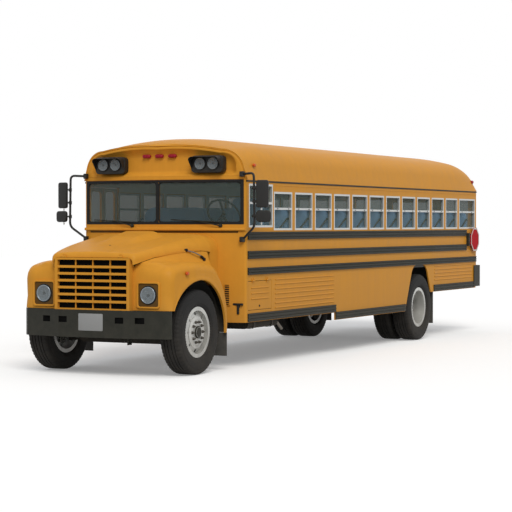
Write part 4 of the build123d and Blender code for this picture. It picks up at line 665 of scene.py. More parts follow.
def fenderGrid():
    # Rows go round the wheel; columns are the flange under the hood, the crown, its curl, the flat and the lip.
    archZ = fenderShape["archZ"]
    outline = np.vstack([
        [(5.235, z) for z in np.linspace(0.8, 1.19, 8)],
        arcThrough((5.235, 1.19), (5.175, 1.31), (5.095, 1.34), 9)[1:],
        arcThrough((5.095, 1.34), (4.725, 1.378), (4.245, 1.34), 20)[1:],
        arcThrough((4.245, 1.34), (3.995, 1.06), (3.921, 0.475), 30)[1:]]) - [frontAxle, archZ]
    angle = np.radians(np.linspace(fenderShape["from"], fenderShape["to"], fenderShape["rows"]))
    degrees = np.degrees(angle)
    c, s = np.cos(angle), np.sin(angle)
    bearing = np.arctan2(outline[:, 1], outline[:, 0]) % (2 * np.pi)
    outer = np.interp(angle, bearing, np.hypot(outline[:, 0], outline[:, 1]))
    ends = np.where(c > 0, fenderShape["front"], fenderShape["back"])
    reach = ends / np.where(np.abs(c) < 0.02, 0.02 * np.sign(c + 1e-9), c)
    ridge = np.full(len(angle), 0.8)
    for _ in range(6):
        line = np.interp(frontAxle + ridge * c, *fenderShape["ridge"])
        ridge = (line - archZ) / np.maximum(s, 0.05)
    inner = (reach ** -16.0 + ridge ** -16.0) ** (-1 / 16)
    onTop = smoothStep(0.99, 1.05, reach / ridge)
    point = polar(inner, angle)
    underHood = np.clip(point[:, 0], hoodAt[-1], hoodAt[0])
    hoodY = np.polyval(hoodHalf, underHood)
    startY = np.where(c > 0, 0.53 + (hoodY - 0.53) * onTop, hoodY)
    seam = np.polyval(hoodSeam, underHood) - 0.006
    t = np.linspace(0, 1, 9)[None]
    rise = ((seam - point[:, 1]) * onTop)[:, None] * (1 - t) ** 2
    flange = np.stack([point[:, :1] + 0 * t, startY[:, None] + 0.1 * t, point[:, 1:] + rise], -1)
    softY = np.interp(degrees, *fenderShape["softY"])
    archAngle = np.interp(degrees, [fenderShape["from"], fenderShape["to"]],
                          [fenderShape["archFrom"], fenderShape["archTo"]])
    arch = polar(fenderShape["archR"], np.radians(archAngle))
    edge = polar(outer, angle)
    gap = np.linalg.norm(arch - edge, axis=-1)
    inward = (arch - edge) / gap[:, None]
    softR = np.minimum(np.interp(degrees, *fenderShape["softR"]), 0.72 * gap)
    firstY = startY + 0.1
    lastY = sideY(edge[:, 0]) - softY
    u = np.linspace(0, 1, 14)[None, 1:]
    radius = inner[:, None] + (outer - inner)[:, None] * smoothStep(0, 1, u)
    crown = np.stack([frontAxle + radius * c[:, None], firstY[:, None] + (lastY - firstY)[:, None] * u,
                      archZ + radius * s[:, None]], -1)
    turn = np.linspace(0, np.pi / 2, 11)[1:]
    curl = edge[:, None] + inward[:, None] * (softR[:, None] * (1 - np.cos(turn)))[..., None]
    curlY = sideY(curl[..., 0]) - softY[:, None] * (1 - np.sin(turn))
    curl = np.stack([curl[..., 0], curlY, curl[..., 1]], -1)
    v = np.linspace(0, 1, 9)[1:]
    flat = edge + inward * softR[:, None]
    flat = flat[:, None] + (arch - flat)[:, None] * v[None, :, None]
    bead = fenderShape["bead"] * smoothStep(0.6, 0.85, v)
    flat = np.stack([flat[..., 0], sideY(flat[..., 0]) + bead, flat[..., 1]], -1)
    lipY = sideY(arch[:, 0]) + fenderShape["bead"]
    lip = np.stack([np.stack([arch[:, 0] + inward[:, 0] * d, lipY - e, arch[:, 1] + inward[:, 1] * d], -1)
                    for d, e in ((0.004, 0.002), (0.005, 0.006), (0.005, fenderShape["lip"]))], 1)
    return np.concatenate([flange, crown, curl, flat, lip], 1)


# Headlamp bezels, rows of (half size, corner, x)
headlamp = {"x": 5.24, "y": 0.741, "z": 0.988, "radius": 0.091, "plate": (0.0022, 0.139, 0.139)}
bezelRows = ((0.16, 0.035, 5.228), (0.16, 0.035, 5.247), (0.157, 0.033, 5.2525), (0.15, 0.03, 5.254),
             (0.141, 0.026, 5.2525), (0.138, 0.024, 5.247), (0.138, 0.024, 5.228))
leftFender = shell(fenderGrid(), fenderShape["thick"], inside=(4.6, 0.9, 0.9))
for side, name in sides:
    part = leftFender if side > 0 else mirrored(leftFender)
    bezel = hoop([facing(x, roundRect(half, half, corner, 6), (side * headlamp["y"], headlamp["z"]))
                  for half, corner, x in bezelRows])
    addPiece(f"fender_skin_{name}", [part, bezel], paint, [f"fender_{name}"], sharp=40,
             within=chassisBlack)

# Wheel houses: a dark half round sheet over each front tyre, inside the fender
house = {"radius": 0.634, "z": 0.54, "from": 24, "to": 184, "inner": 0.64, "outer": 1.02, "rib": 0.002}
a = np.radians(np.linspace(house["from"], house["to"], 60))[:, None]
y = np.linspace(house["inner"], house["outer"], 9)[None]
r = house["radius"] + house["rib"] * np.cos(8 * np.pi * (y - house["inner"]))
liner = shell(np.stack([frontAxle + r * np.cos(a), y + 0 * a, house["z"] + r * np.sin(a)], -1), 0.003,
              inside=(frontAxle, 0.8, house["z"]))
addPiece("wheel_houses", [liner, mirrored(liner)], chassisBlack)
print("hood and fenders made")

# Roof ends: the roof's section lowered by drop (1 - cos) along a quarter round, cut by the bowed front
roofShape = {"shoulder": (1.16, 2.61), "corner": (0.92, 2.86), "top": 2.97, "steps": (4, 12, 18)}


def roofOutline(drop, draw, inset=0.0, low=eaveZ):
    # Half outline from the foot to the crown, for any array of drops: (..., points) of y and z.
    # A straight wall, an arc that leaves it level with it, and a shallow arc over the middle.
    drop = np.asarray(drop, float)[..., None]
    draw = np.asarray(draw, float)[..., None]
    (shoulderY, shoulderZ), (crownY, crownZ) = roofShape["shoulder"], roofShape["corner"]
    foot, shoulderY, shoulderZ = wallY - inset + 0 * drop, shoulderY - draw / 2 - inset, shoulderZ - drop / 3
    crownY, crownZ, top = crownY - draw - inset, crownZ - drop - inset, roofShape["top"] - drop - inset
    wallSteps, arcSteps, topSteps = roofShape["steps"]
    t = np.linspace(0, 1, wallSteps)
    y = [foot + (shoulderY - foot) * t]
    z = [low + (shoulderZ - low) * t]
    lean = np.hypot(foot - shoulderY, shoulderZ - low)
    inY, inZ = -(shoulderZ - low) / lean, -(foot - shoulderY) / lean
    dy, dz = crownY - shoulderY, crownZ - shoulderZ
    k = (dy ** 2 + dz ** 2) / (2 * (dy * inY + dz * inZ))
    cy, cz = shoulderY + k * inY, shoulderZ + k * inZ
    a0, a1 = np.arctan2(shoulderZ - cz, shoulderY - cy), np.arctan2(crownZ - cz, crownY - cy)
    a = a0 + (a1 - a0) * np.linspace(0, 1, arcSteps)[1:]
    y.append(cy + k * np.cos(a))
    z.append(cz + k * np.sin(a))
    sag = top - crownZ
    big = (crownY ** 2 + sag ** 2) / (2 * sag)
    t = np.linspace(1, 0, topSteps)[1:]
    y.append(crownY * t)
    z.append(top - big + np.sqrt(big ** 2 - (crownY * t) ** 2))
    return np.concatenate(y, -1), np.concatenate(z, -1)


def bothSides(x, y, z):
    # Half rows that end on the centre line, joined to their mirror image.
    halfGrid = np.stack([x, y, z], -1)
    return np.concatenate([halfGrid, halfGrid[..., -2::-1, :] * [1, -1, 1]], -2)


def column(drop, draw, inset=0.0, low=eaveZ):
    # As roofOutline, for an array that already has one value per outline point.
    y, z = roofOutline(drop, draw, inset, low)
    own = np.arange(y.shape[-1])
    return y[..., own, own], z[..., own, own]


# Front cap: the sunk panel runs from its low edge to below the rim, as deep as the least room round it allows
frontCap = {"start": 2.695, "full": 3.735, "drop": 0.14, "draw": 0.06, "rows": 26, "edge": 0.022, "deep": 0.068,
            "slope": 0.11, "topRim": 0.012, "sideRim": 1.075, "low": 2.452, "footHalf": 1.196,
            "foot": [(-0.04, 2.404), (-0.004, 2.404), (0.0, 2.408), (0.0, 2.448), (-0.004, 2.452), (-0.04, 2.452)]}
t = np.linspace(0, 1, frontCap["rows"])[:, None] * np.ones(sum(roofShape["steps"]) - 2)
fall = np.zeros_like(t)
for _ in range(4):
    y, z = column(frontCap["drop"] * fall, frontCap["draw"] * fall)
    x = frontCap["start"] + (bowX(y) - frontCap["start"]) * np.sin(t * np.pi / 2)
    q = np.clip((x - frontCap["start"]) / (frontCap["full"] - frontCap["start"]), 0, 1)
    fall = 1 - np.sqrt(1 - q ** 2)
capRows = bothSides(x, y, z)
rimRows = []
for angle in np.linspace(0, np.pi / 2, 7)[1:]:
    inset = frontCap["edge"] * (1 - math.cos(angle))
    y, z = column(frontCap["drop"] * fall[-1], frontCap["draw"] * fall[-1], inset, eaveZ + 0.004)
    rimRows.append(bothSides(bowX(y) - frontCap["edge"] * (1 - math.sin(angle)), y, z))
capRows[-1, :, 0] -= frontCap["edge"]
capGrid = np.concatenate([capRows, np.array(rimRows)])
rim = rimRows[-1]
footLine = rim * [0, 0.985, 0] + [0, 0, frontCap["low"]]
flat = rim[None] + (footLine - rim)[None] * np.linspace(0, 1, 30)[:, None, None]
order = np.argsort(rim[:, 1])
topRoom = np.interp(flat[..., 1], rim[order, 1], rim[order, 2]) - frontCap["topRim"] - flat[..., 2]
sideRoom = frontCap["sideRim"] - np.abs(flat[..., 1])
room = -np.log(np.exp(-30 * topRoom) + np.exp(-30 * sideRoom)) / 30  # smooth least of the two
sunk = frontCap["deep"] * (1 - (1 - np.clip(room / frontCap["slope"], 0, 1)) ** 2)
sunk *= smoothStep(0.0, 0.06, flat[..., 2] - frontCap["low"])
panel = np.stack([bowX(flat[..., 1]) - sunk, flat[..., 1], flat[..., 2]], -1)
capParts = [shell(capGrid, 0.02, inside=(3.2, 0, 2.3)), shell(panel, 0.02, inside=(3.0, 0, 2.6)),
            alongBow(frontCap["foot"], frontCap["footHalf"], 41)]
addPiece("front_cap_skin", capParts, paint, ["front_cap"], sharp=40)

rearCap = {"start": -4.305, "end": backX, "drop": 0.25, "draw": 0.09, "rows": 26}
turn = np.linspace(0, np.pi / 2, rearCap["rows"])
fall = 1 - np.cos(turn)
y, z = roofOutline(rearCap["drop"] * fall, rearCap["draw"] * fall)
x = (rearCap["start"] + (rearCap["end"] - rearCap["start"]) * np.sin(turn))[:, None] + 0 * y
capRows = bothSides(x, y, z)
y, z = y[-1], z[-1]
panelZ = np.linspace(eaveZ, z[-1] - 0.004, 26)[:, None]
panelY = np.interp(panelZ[:, 0], z, y)[:, None] * np.linspace(-1, 1, 41)
panel = np.stack([np.full_like(panelY, backX), panelY, panelZ + 0 * panelY], -1)
capParts = [shell(capRows, 0.04, inside=(-4.4, 0, 2.3)), shell(panel, 0.05, inside=(-4.4, 0, 2.6))]
addPiece("rear_cap_skin", capParts, paint, ["rear_cap"], sharp=40)
print("roof ends made")

# Warning lamp pods, front and rear: a plate, an awning, rings, and domed lenses with a bowl behind the clear ones
podShape = {"middle": 0.71675, "half": (0.224, 0.11), "lamps": (0.6285, 0.8145), "lampUp": 0.006, "radius": 0.075}
pods = ({"way": 1, "x": 3.675, "deep": 0.065, "z": 2.6, "face": 3.74, "visor": 0.115, "ring": 0.022,
         "lens": 0.0185, "dome": 0.01, "lenses": ("clear", "clear")},
        {"way": -1, "x": backX - 0.034, "deep": 0.036, "z": 2.58, "face": backX - 0.07, "visor": 0.085,
         "ring": 0.012, "lens": 0.002, "dome": 0.012, "lenses": ("amber", "red")})
wallLamps = {"y": 0.9, "red": (1.56, 0.09), "amber": (1.34, 0.06)}  # z and radius


def podVisor(x, middle, z, way, reach):
    # One awning over both lamps: it follows the pod's upper outline and shortens down its sides.
    line = np.vstack([[0.216, -0.05], roundRect(0.216, 0.104, 0.05, 8)[:16], [-0.216, -0.05]])
    far = reach * smoothStep(-0.08, 0.1, line[:, 1])[None]
    out = np.linspace(0, 1, 6)[:, None]
    grid = np.stack([x - way * 0.01 + way * out * far, middle + line[:, 0] + 0 * out,
                     z + line[:, 1] - 0.012 * out * (far > 0)], -1)
    return shell(grid, 0.005, inside=(x, middle, z))


def reflectorBowl(x, y, z, way, radius, deep):
    # Concave bowl, its depth the square of the radius, on a flat back.
    inner = [(deep * s * s + 0.0006, (radius - 0.0015) * s) for s in np.linspace(1, 0.04, 8)]
    return lathe([(-0.001, radius), (deep, radius)] + inner, (x, y, z), (way, 0, 0), 32)


def lens(x, y, z, way, radius, high):
    # Dome of height high (1 - s s) at the share s of the radius.
    rows = [(high * (1 - s * s), radius * s) for s in np.linspace(1, 0, 7)[:-1]] + [(high, radius * 0.02)]
    return lathe([(-0.004, radius)] + rows, (x, y, z), (way, 0, 0), 28)


def lampRing(x, y, z, way, radius, wide=0.008, high=0.012):
    # Ring of square section with its outer corners cut by 2 mm.
    return lathe([(-0.004, radius), (high - 0.002, radius), (high, radius + 0.002), (high, radius + wide - 0.002),
                  (high - 0.002, radius + wide), (-0.004, radius + wide)], (x, y, z), (way, 0, 0), 28, True)


def oval(x, y, z, way, wide, high, out, axis=0):
    # Rounded lamp that stands out by out along the axis, wide and high as half sizes.
    centre = [x, y, z]
    centre[axis] += way * out / 2
    half = (out / 2, wide, high) if axis == 0 else (wide, out / 2, high)
    return slab(centre, half, min(wide, high), out / 2.5, axis, 4, 7)


housings, bowls = [], []
lenses = {"clear": [], "red": [], "amber": []}
for side in (1, -1):
    for pod in pods:
        way, face, middle, radius = pod["way"], pod["face"], side * podShape["middle"], podShape["radius"]
        housings.append(slab((pod["x"], middle, pod["z"]), (pod["deep"], *podShape["half"]), 0.05, 0.01))
        housings.append(podVisor(face, middle, pod["z"], way, pod["visor"]))
        for lampY, colour in zip(podShape["lamps"], pod["lenses"]):
            spot = side * lampY, pod["z"] + podShape["lampUp"]
            housings.append(lampRing(face, *spot, way, radius, high=pod["ring"]))
            lenses[colour].append(lens(face + way * pod["lens"], *spot, way, radius - 0.0005, pod["dome"]))
            if colour == "clear":
                bowls.append(reflectorBowl(face + 0.0005, *spot, way, radius - 0.003, 0.0165))
                boss = [(0, 0.013), (0.006, 0.012), (0.009, 0.006)]
                housings.append(lathe(boss, (face + 0.004, *spot), forward, 14))
    for colour in ("red", "amber"):
        z, radius = wallLamps[colour]
        lenses[colour].append(lens(backX, side * wallLamps["y"], z, -1, radius, 0.012))
        housings.append(lampRing(backX, side * wallLamps["y"], z, -1, radius, 0.01, 0.01))
addPiece("lamp_pod_housings", housings, trim, ["lamp_pods"])
addPiece("pod_lenses_front", lenses["clear"], clearLens)
addPiece("pod_bowls_front", bowls, reflector)

# Three oval lamps over the windscreen and over the rear door, side clearance lamps and fender markers;
# the side ones are rows of colour, x, y, z, half width, half height and depth
for y in (-0.19, 0, 0.19):
    lenses["red"].append(oval(bowX(y) - 0.072, y, 2.712, 1, 0.06, 0.024, 0.047))
    lenses["red"].append(oval(backX + 0.002, y, 2.6, -1, 0.062, 0.022, 0.02))
sideLamps = (("red", -5.08, 1.128, 2.555, 0.04, 0.028, 0.045), ("amber", 3.3, 1.163, 2.59, 0.035, 0.02, 0.03),
             ("amber", frontAxle + 0.33, 1.083, 1.244, 0.03, 0.022, 0.03))
for side in (1, -1):
    for colour, x, y, z, wide, high, out in sideLamps:
        lenses[colour].append(oval(x, side * y, z, side, wide, high, out, 1))
addPiece("red_lamps", lenses["red"], redLens, ["lamps"])
addPiece("amber_lamps", lenses["amber"], amberLens)

# Headlamps: recess plate in a dark brown of painted shade, bright bowl and ring, black boss and gasket, and a clear
# dome
plates, rings, bowls, bosses, domes = [], [], [], [], []
x, z, radius = headlamp["x"], headlamp["z"], headlamp["radius"]
for side in (1, -1):
    y = side * headlamp["y"]
    plates.append(slab((x - 0.0028, y, z), headlamp["plate"], 0.025, 0.001))
    rings.append(lampRing(x, y, z, 1, radius, 0.009, 0.02))
    bowls.append(reflectorBowl(x + 0.0005, y, z, 1, radius - 0.0015, 0.0165))
    domes.append(lens(x + 0.018, y, z, 1, radius - 0.0005, 0.01))
    bosses.append(lathe([(0, 0.02), (0.008, 0.018), (0.011, 0.008)], (x + 0.001, y, z), forward, 16))
    bosses.append(lampRing(x - 0.001, y, z, 1, radius + 0.009, 0.014, 0.009))
addPiece("headlamp_recess", plates, recessShade, ["headlights"])
addPiece("headlamp_rings", rings, reflector)
addPiece("headlamp_bowls", bowls, reflector)
addPiece("headlamp_bosses", bosses, rubber)
addPiece("headlamp_lenses", domes, clearLens)
print("lamps made")

# Painted shade: near-black sheets behind the grille and in the bumper's slots; and the bare number plates
paintedShadeFill = {"grille": (5.276, 0, 1.111), "grilleHalf": (0.005, 0.489, 0.2935),
            "slots": ((5.335, 0.4), (5.29, 0.66)), "slotZ": 0.682, "slotHalf": (0.006, 0.072, 0.046)}
plate = {"x": 5.354, "z": 0.6535, "half": (0.0016, 0.1725, 0.1035), "boltY": 0.15, "boltZ": 0.0835,
         "rear": (backX - 0.004, 0.62, 1.62), "rearHalf": (0.0025, 0.155, 0.08)}
addPiece("grille_painted_shade", [slab(paintedShadeFill["grille"], paintedShadeFill["grilleHalf"], 0.004, 0.001)], paintedShadeBlack)
pocketShades = [slab((x, side * y, paintedShadeFill["slotZ"]), paintedShadeFill["slotHalf"], 0.01, 0.002)
           for x, y in paintedShadeFill["slots"] for side in (1, -1)]
addPiece("bumper_pocket_shade", pocketShades, paintedShadeBlack)
plateParts = [slab((plate["x"], 0, plate["z"]), plate["half"], 0.012, 0.0005)]
for y in (-plate["boltY"], plate["boltY"]):
    for z in (plate["z"] - plate["boltZ"], plate["z"] + plate["boltZ"]):
        plateParts.append(lathe([(-0.002, 0.006), (0.0004, 0.006), (0.0008, 0.003)], (plate["x"] + 0.0015, y, z),
                                forward, 8))
addPiece("number_plate_front", plateParts, plateGrey)
addPiece("number_plate_rear", [slab(plate["rear"], plate["rearHalf"], 0.012, 0.001)], signWhite)

# Windscreen: rubber round each pane along the bowed front, a centre strip and a black header
windscreen = {"y": 0.5775, "z": 2.1175, "half": (0.5615, 0.2595), "corner": 0.05, "back": 0.004,
              "rubberWide": 0.013, "rubberHigh": 0.008, "foot": 1.852, "head": 2.383, "headerHalf": 1.14}
gaskets = []
for side in (1, -1):
    line = roundRect(*windscreen["half"], windscreen["corner"], 6)
    line = np.vstack([np.linspace(a, b, 14)[:-1] for a, b in zip(line, np.roll(line, -1, 0))])
    y = side * windscreen["y"] + line[:, 0]
    path = np.stack([bowX(y) - windscreen["back"], y, windscreen["z"] + line[:, 1]], -1)
    along = unit(np.roll(path, -1, 0) - np.roll(path, 1, 0))
    across = unit(np.cross(along, forward))
    a = np.linspace(0, 2 * np.pi, 7, endpoint=False)[None, :, None]
    gaskets.append(hoop(path[:, None] + windscreen["rubberWide"] * np.cos(a) * across[:, None]
                        + windscreen["rubberHigh"] * np.sin(a) * np.array(forward)))
strip = [(bowX(0) + out, y) for out, y in ((-0.004, 0.014), (0.006, 0.012), (0.009, 0.0), (0.006, -0.012),
                                           (-0.004, -0.014))]
header = [(-0.01, 2.372), (0.003, 2.374), (0.005, 2.384), (0.005, 2.396), (0.003, 2.403), (-0.01, eaveZ)]
gaskets += [carried(strip, np.linspace(windscreen["foot"], windscreen["head"], 12), 2),
            alongBow(header, windscreen["headerHalf"], 41)]
addPiece("windscreen_rubber", gaskets, rubber)

# Wipers: a pivot, an arm that thins, and a blade with its rubber along the glass
wiper = {"arms": ((0.88, 0.2), (-0.38, -1.02)), "pivotZ": 1.815, "jointZ": 1.878, "bladeZ": (1.862, 1.892)}
wipers = []
for pivot, tip in wiper["arms"]:
    middle = (pivot + tip) / 2
    a = np.array([bowX(pivot) + 0.03, pivot, wiper["pivotZ"]])
    b = np.array([bowX(middle) + 0.02, middle + 0.03, wiper["jointZ"]])
    y = np.linspace(pivot - 0.02, tip, 16)
    z = np.linspace(*wiper["bladeZ"], 16)
    wipers += [lathe([(-0.04, 0.02), (0.004, 0.02), (0.01, 0.014), (0.012, 0.004)], a, forward, 16),
               tube([a, a + (b - a) * 0.3 + [0.006, 0, 0], b], [0.009, 0.007, 0.005], 8, forward),
               tube(np.stack([bowX(y) + 0.01, y, z], -1), 0.0065, 6, forward),
               tube(np.stack([bowX(y) + 0.002, y, z - 0.002], -1), 0.0045, 5, forward)]
addPiece("wipers", wipers, blackPaint)
print("windscreen made")


# Black border painted round the windscreen, and the rounded ledge below it with its rivets and a strip of painted
# shadow under it
def bowSheet(y, z):
    # Thin sheet just proud of the bowed front, over every pair of the given y and z.
    y, z = np.meshgrid(y, z, indexing="ij")
    return shell(np.stack([bowX(y) + 0.0025, y, z], -1), 0.004, inside=(3, 0, 2))


def dome(radius, high, direction):
    # Rivet head at the origin.
    rows = [(-0.001, radius), (high * 0.45, radius * 0.9), (high * 0.85, radius * 0.55), (high, radius * 0.15)]
    return lathe(rows, (0, 0, 0), direction, 8)


border = {"inner": 1.136, "outer": 1.172, "low": 1.833, "lowTop": 1.859}
# The gap entry is the section of the strip of painted shadow under the ledge
ledge = {"out": 0.028, "low": 1.753, "high": 1.79, "half": 1.194, "rivetHalf": 1.15, "rivetPitch": 0.062,
         "rivetZ": 1.77, "gap": [(-0.004, 1.722), (0.004, 1.726), (0.007, 1.75), (-0.004, 1.752)], "shadowHalf": 1.1}
borders = [bowSheet(np.linspace(-border["outer"], border["outer"], 61),
                    np.linspace(border["low"], border["lowTop"], 3))]
borders += [bowSheet(side * np.linspace(border["inner"], border["outer"], 4), np.linspace(border["low"], eaveZ, 8))
            for side in (1, -1)]
addPiece("windscreen_border", borders, rubber)
low, high, out = ledge["low"], ledge["high"], ledge["out"]
ledgeSection = [(-0.01, low), (out - 0.006, low), (out, low + 0.006), (out, high - 0.009),
                (out - 0.005, high - 0.002), (-0.01, high)]
rivetY = np.arange(-ledge["rivetHalf"], ledge["rivetHalf"] + 0.01, ledge["rivetPitch"])
rivetRow = np.stack([bowX(rivetY) + out, rivetY, np.full(len(rivetY), ledge["rivetZ"])], -1)
addPiece("screen_ledge", [alongBow(ledgeSection, ledge["half"]), scatter(dome(0.006, 0.003, forward), rivetRow)],
         paint)
# The strip under the ledge is dark brown, a painted shadow of the ledge
addPiece("ledge_painted_shadow", [alongBow(ledge["gap"], ledge["shadowHalf"])], recessShade)

# Drip rail: a hooked strip along each side, and a painted lip over the windows; sections are (y, z)
railX = np.linspace(-5.165, 3.565, 40)
lipX = np.linspace(-5.15, 2.76, 30)
railSection = [(1.19, 2.372), (1.204, 2.374), (1.209, 2.379), (1.209, 2.39), (1.2, 2.396), (1.19, 2.396)]
lipSection = [(1.195, 2.338), (1.2035, 2.339), (1.2045, 2.344), (1.2, 2.35), (1.195, 2.35)]
drip, lips = ([carried(np.array(section) * [side, 1], along, 0) for side in (1, -1)]
              for section, along in ((railSection, railX), (lipSection, lipX)))
addPiece("drip_rails", drip, blackPaint)

# Rivets: along the wall over the windows and between the rails; rows are z, pitch, first x and last x
rivetLines = ((2.322, 0.066, -5.1, 2.75), (2.362, 0.12, -5.1, 3.5), (1.612, 0.16, -4.6, 3.45),
              (1.368, 0.16, -4.6, 3.45), (1.168, 0.16, -1.85, 2.75))
rivetRows = []
for z, pitch, first, last in rivetLines:
    x = np.arange(first, last, pitch)
    rivetRows.append(np.stack([x, np.full(len(x), wallY), np.full(len(x), z)], -1))
rivetRows = np.vstack(rivetRows)
clearOfDoor = (rivetRows[:, 0] < 2.75) | (rivetRows[:, 2] > 2.3)
leftRivets = scatter(dome(0.0055, 0.0025, (0, 1, 0)), rivetRows)
rightRivets = scatter(dome(0.0055, 0.0025, (0, -1, 0)), rivetRows[clearOfDoor] * [1, -1, 1])
addPiece("wall_rivets", [leftRivets, rightRivets] + lips, paint)

# Window latches, two on each middle rail; openings are (front edge, width)
windowRow = {"front": bodyX - 0.8, "pitch": 0.643, "wide": 0.56, "lastWide": 0.792, "count": 12, "railZ": 2.0378}
openings = [(windowRow["front"] - i * windowRow["pitch"], windowRow["wide"]) for i in range(windowRow["count"])]
openings[-1] = (openings[-1][0], windowRow["lastWide"])
latch = slab((0, 0, 0), (0.016, 0.004, 0.006), 0.003, 0.0015, 1)
spots = [(x - share * wide, side * wallY, windowRow["railZ"]) for x, wide in openings for side in (1, -1)
         for share in (0.2, 0.8)]
addPiece("window_latches", [scatter(latch, spots)], trim)

# Mirrors: a tube loop on two brackets, rounded heads with glass, straps, and a rod beside the lower head
mirror = {"x": 3.68, "tube": 0.015, "toe": 0.26, "rodY": 1.47, "rodZ": (2.05, 1.825), "clampZ": (2.025, 1.846),
          "loop": ((3.60, 1.165, 2.47), (3.68, 1.362, 2.479), (3.68, 1.374, 1.807), (3.60, 1.165, 1.642)),
          "bracket": (3.612, 1.163), "straps": ((2.29, 0.1), (2.12, 0.06), (1.936, 0.12))}  # straps: z and reach
mirrorHeads = ({"y": 1.482, "z": 2.2175, "wide": 0.08, "high": 0.1725, "corner": 0.028, "bulge": False},
               {"y": 1.499, "z": 1.936, "wide": 0.096, "high": 0.074, "corner": 0.04, "bulge": True})
housings, glasses, bolts = [], [], []
mirrorX = mirror["x"]
for side in (1, -1):
    housings.append(tube(bend(np.array(mirror["loop"]) * [1, side, 1], 0.06, 8), mirror["tube"], 12, forward))
    bracketX, bracketY = mirror["bracket"][0], side * mirror["bracket"][1]
    for z in (mirror["loop"][0][2], mirror["loop"][-1][2]):
        housings.append(slab((bracketX, bracketY, z), (0.036, 0.024, 0.034), 0.01, 0.006))
        bolt = lathe([(-0.003, 0.007), (0.004, 0.007), (0.006, 0.004)], (bracketX + 0.036, bracketY, z), forward, 6)
        housings.append(scatter(bolt, [(0, 0, -0.02), (0, 0, 0.02)]))
    for head in mirrorHeads:
        y, z, wide, high = side * head["y"], head["z"], head["wide"], head["high"]
        toe = (mirrorX, y, z), upward, side * mirror["toe"]
        housings.append(turned(slab((mirrorX, y, z), (0.022, wide, high), head["corner"], 0.014, steps=5), *toe))
        wide, high = wide - 0.012, high - 0.012
        if head["bulge"]:
            glass = lathe([(0, 1), (0.008, 0.9), (0.015, 0.65), (0.019, 0.35), (0.02, 0.02)], (0, 0, 0),
                          (-1, 0, 0), 32)
            glass = glass[0] * [1, wide, high] + [mirrorX - 0.021, y, z], glass[1]
        else:
            glass = slab((mirrorX - 0.0215, y, z), (0.0015, wide, high), head["corner"] - 0.01, 0.0007)
        glasses.append(turned(glass, *toe))
    for z, reach in mirror["straps"]:
        strapY = side * (1.362 + reach / 2)
        housings.append(slab((mirrorX + 0.022, strapY, z), (0.006, reach / 2 + 0.014, 0.011), 0.004, 0.002))
        housings.append(lathe([(-0.022, 0.021), (0.022, 0.021)], (mirrorX, side * 1.368, z), upward, 16))
    rodY = side * mirror["rodY"]
    bolts.append(tube([(mirrorX, rodY, z) for z in mirror["rodZ"]], 0.006, 10, forward))
    bolts += [lathe([(-0.008, 0.012), (0.008, 0.012)], (mirrorX, rodY, z), upward, 6) for z in mirror["clampZ"]]
addPiece("mirror_housings", housings, trim, ["mirrors"])
addPiece("mirror_glass", glasses, mirrorGlass)
addPiece("mirror_bolts", bolts, sashMetal)
print("body fittings made")

# Hood latches: a knob on the hood, and a steel strap on a rubber anchor beside it
hoodLatch = {"knob": (4.415, 0.796, 1.512), "anchor": (4.085, 0.868, 1.405), "arch": (0, 0.022, 0.012)}
blackEnds, straps, knobs = [], [], []
for side in (1, -1):
    a, b, arch = (np.array(hoodLatch[key]) * [1, side, 1] for key in ("knob", "anchor", "arch"))
    t = np.linspace(0, 1, 9)[:, None]
    line = a + (b - a) * t + arch * np.sin(np.pi * t)
    knobs.append(lathe([(-0.006, 0.02), (0.012, 0.021), (0.024, 0.017), (0.028, 0.006)], a - [0, side * 0.004, 0],
                       (0, side, 0.3), 18))
    blackEnds.append(tube(line[6:], [0.012, 0.017, 0.015], 12))
    blackEnds.append(slab(b + [0, 0, -0.008], (0.026, 0.014, 0.018), 0.006, 0.004, 2))
    straps.append(tube(line[:7], 0.0085, 10))
addPiece("hood_latch_rubbers", blackEnds, rubber)
addPiece("hood_latch_straps", straps, pipeSteel)
addPiece("hood_latch_knobs", knobs, rubber, body="hood")
stud = lathe([(-0.004, 0.011), (0.002, 0.011), (0.003, 0.007)], (4.9, 0.0, 1.576), upward, 14)
addPiece("hood_stud", [stud], rubber, body="hood")

# Cowl fittings on the driver's side: a louvred vent in a frame over a black plate of painted shade, and a T handle
vent = {"y": 0.952, "z": 0.9375, "half": (0.04, 0.1275), "slats": 9, "slatsHalf": 0.112, "tilt": 0.5}
halfY, halfZ = vent["half"]
ventX = bowX(vent["y"])
handle = {"y": 1.1, "barZ": 0.818, "stemZ": 0.75, "baseZ": 0.795}
handleX = bowX(handle["y"])
# The first slab, behind the slats, is a black sheet of painted shade for the vent's inside; the rest is the T
# handle
darkParts = [slab((ventX + 0.001, vent["y"], vent["z"]), (0.004, halfY, halfZ), 0.006, 0.002),
             slab((handleX + 0.006, handle["y"], handle["barZ"]), (0.013, 0.0715, 0.0135), 0.011, 0.006, 0, 4, 5),
             slab((handleX + 0.004, handle["y"], handle["stemZ"]), (0.011, 0.015, 0.06), 0.012, 0.005, 0, 4, 5),
             slab((handleX, handle["y"], handle["baseZ"]), (0.005, 0.026, 0.02), 0.012, 0.003)]
addPiece("cowl_vent", darkParts, rubber)
slat = turned(slab((0, 0, 0), (0.007, halfY, 0.0035), 0.002, 0.001), (0, 0, 0), acrossBus, vent["tilt"])
slatZ = vent["z"] + np.linspace(-vent["slatsHalf"], vent["slatsHalf"], vent["slats"])
ventFrame = hoop([facing(ventX + out, roundRect(halfY + d, halfZ + d, 0.01), (vent["y"], vent["z"]))
                  for d, out in ((0, 0), (0, 0.01), (0.01, 0.008), (0.011, 0))])
addPiece("cowl_vent_slats", [scatter(slat, [(ventX + 0.004, vent["y"], z) for z in slatZ]), ventFrame], paint)
keyhole = lathe([(-0.004, 0.015), (0.004, 0.015), (0.005, 0.012), (0.002, 0.009), (0.002, 0.002)],
                (3.2, wallY, 0.786), acrossBus, 16)
addPiece("battery_door_lock", [keyhole], rubber, body="battery_door")

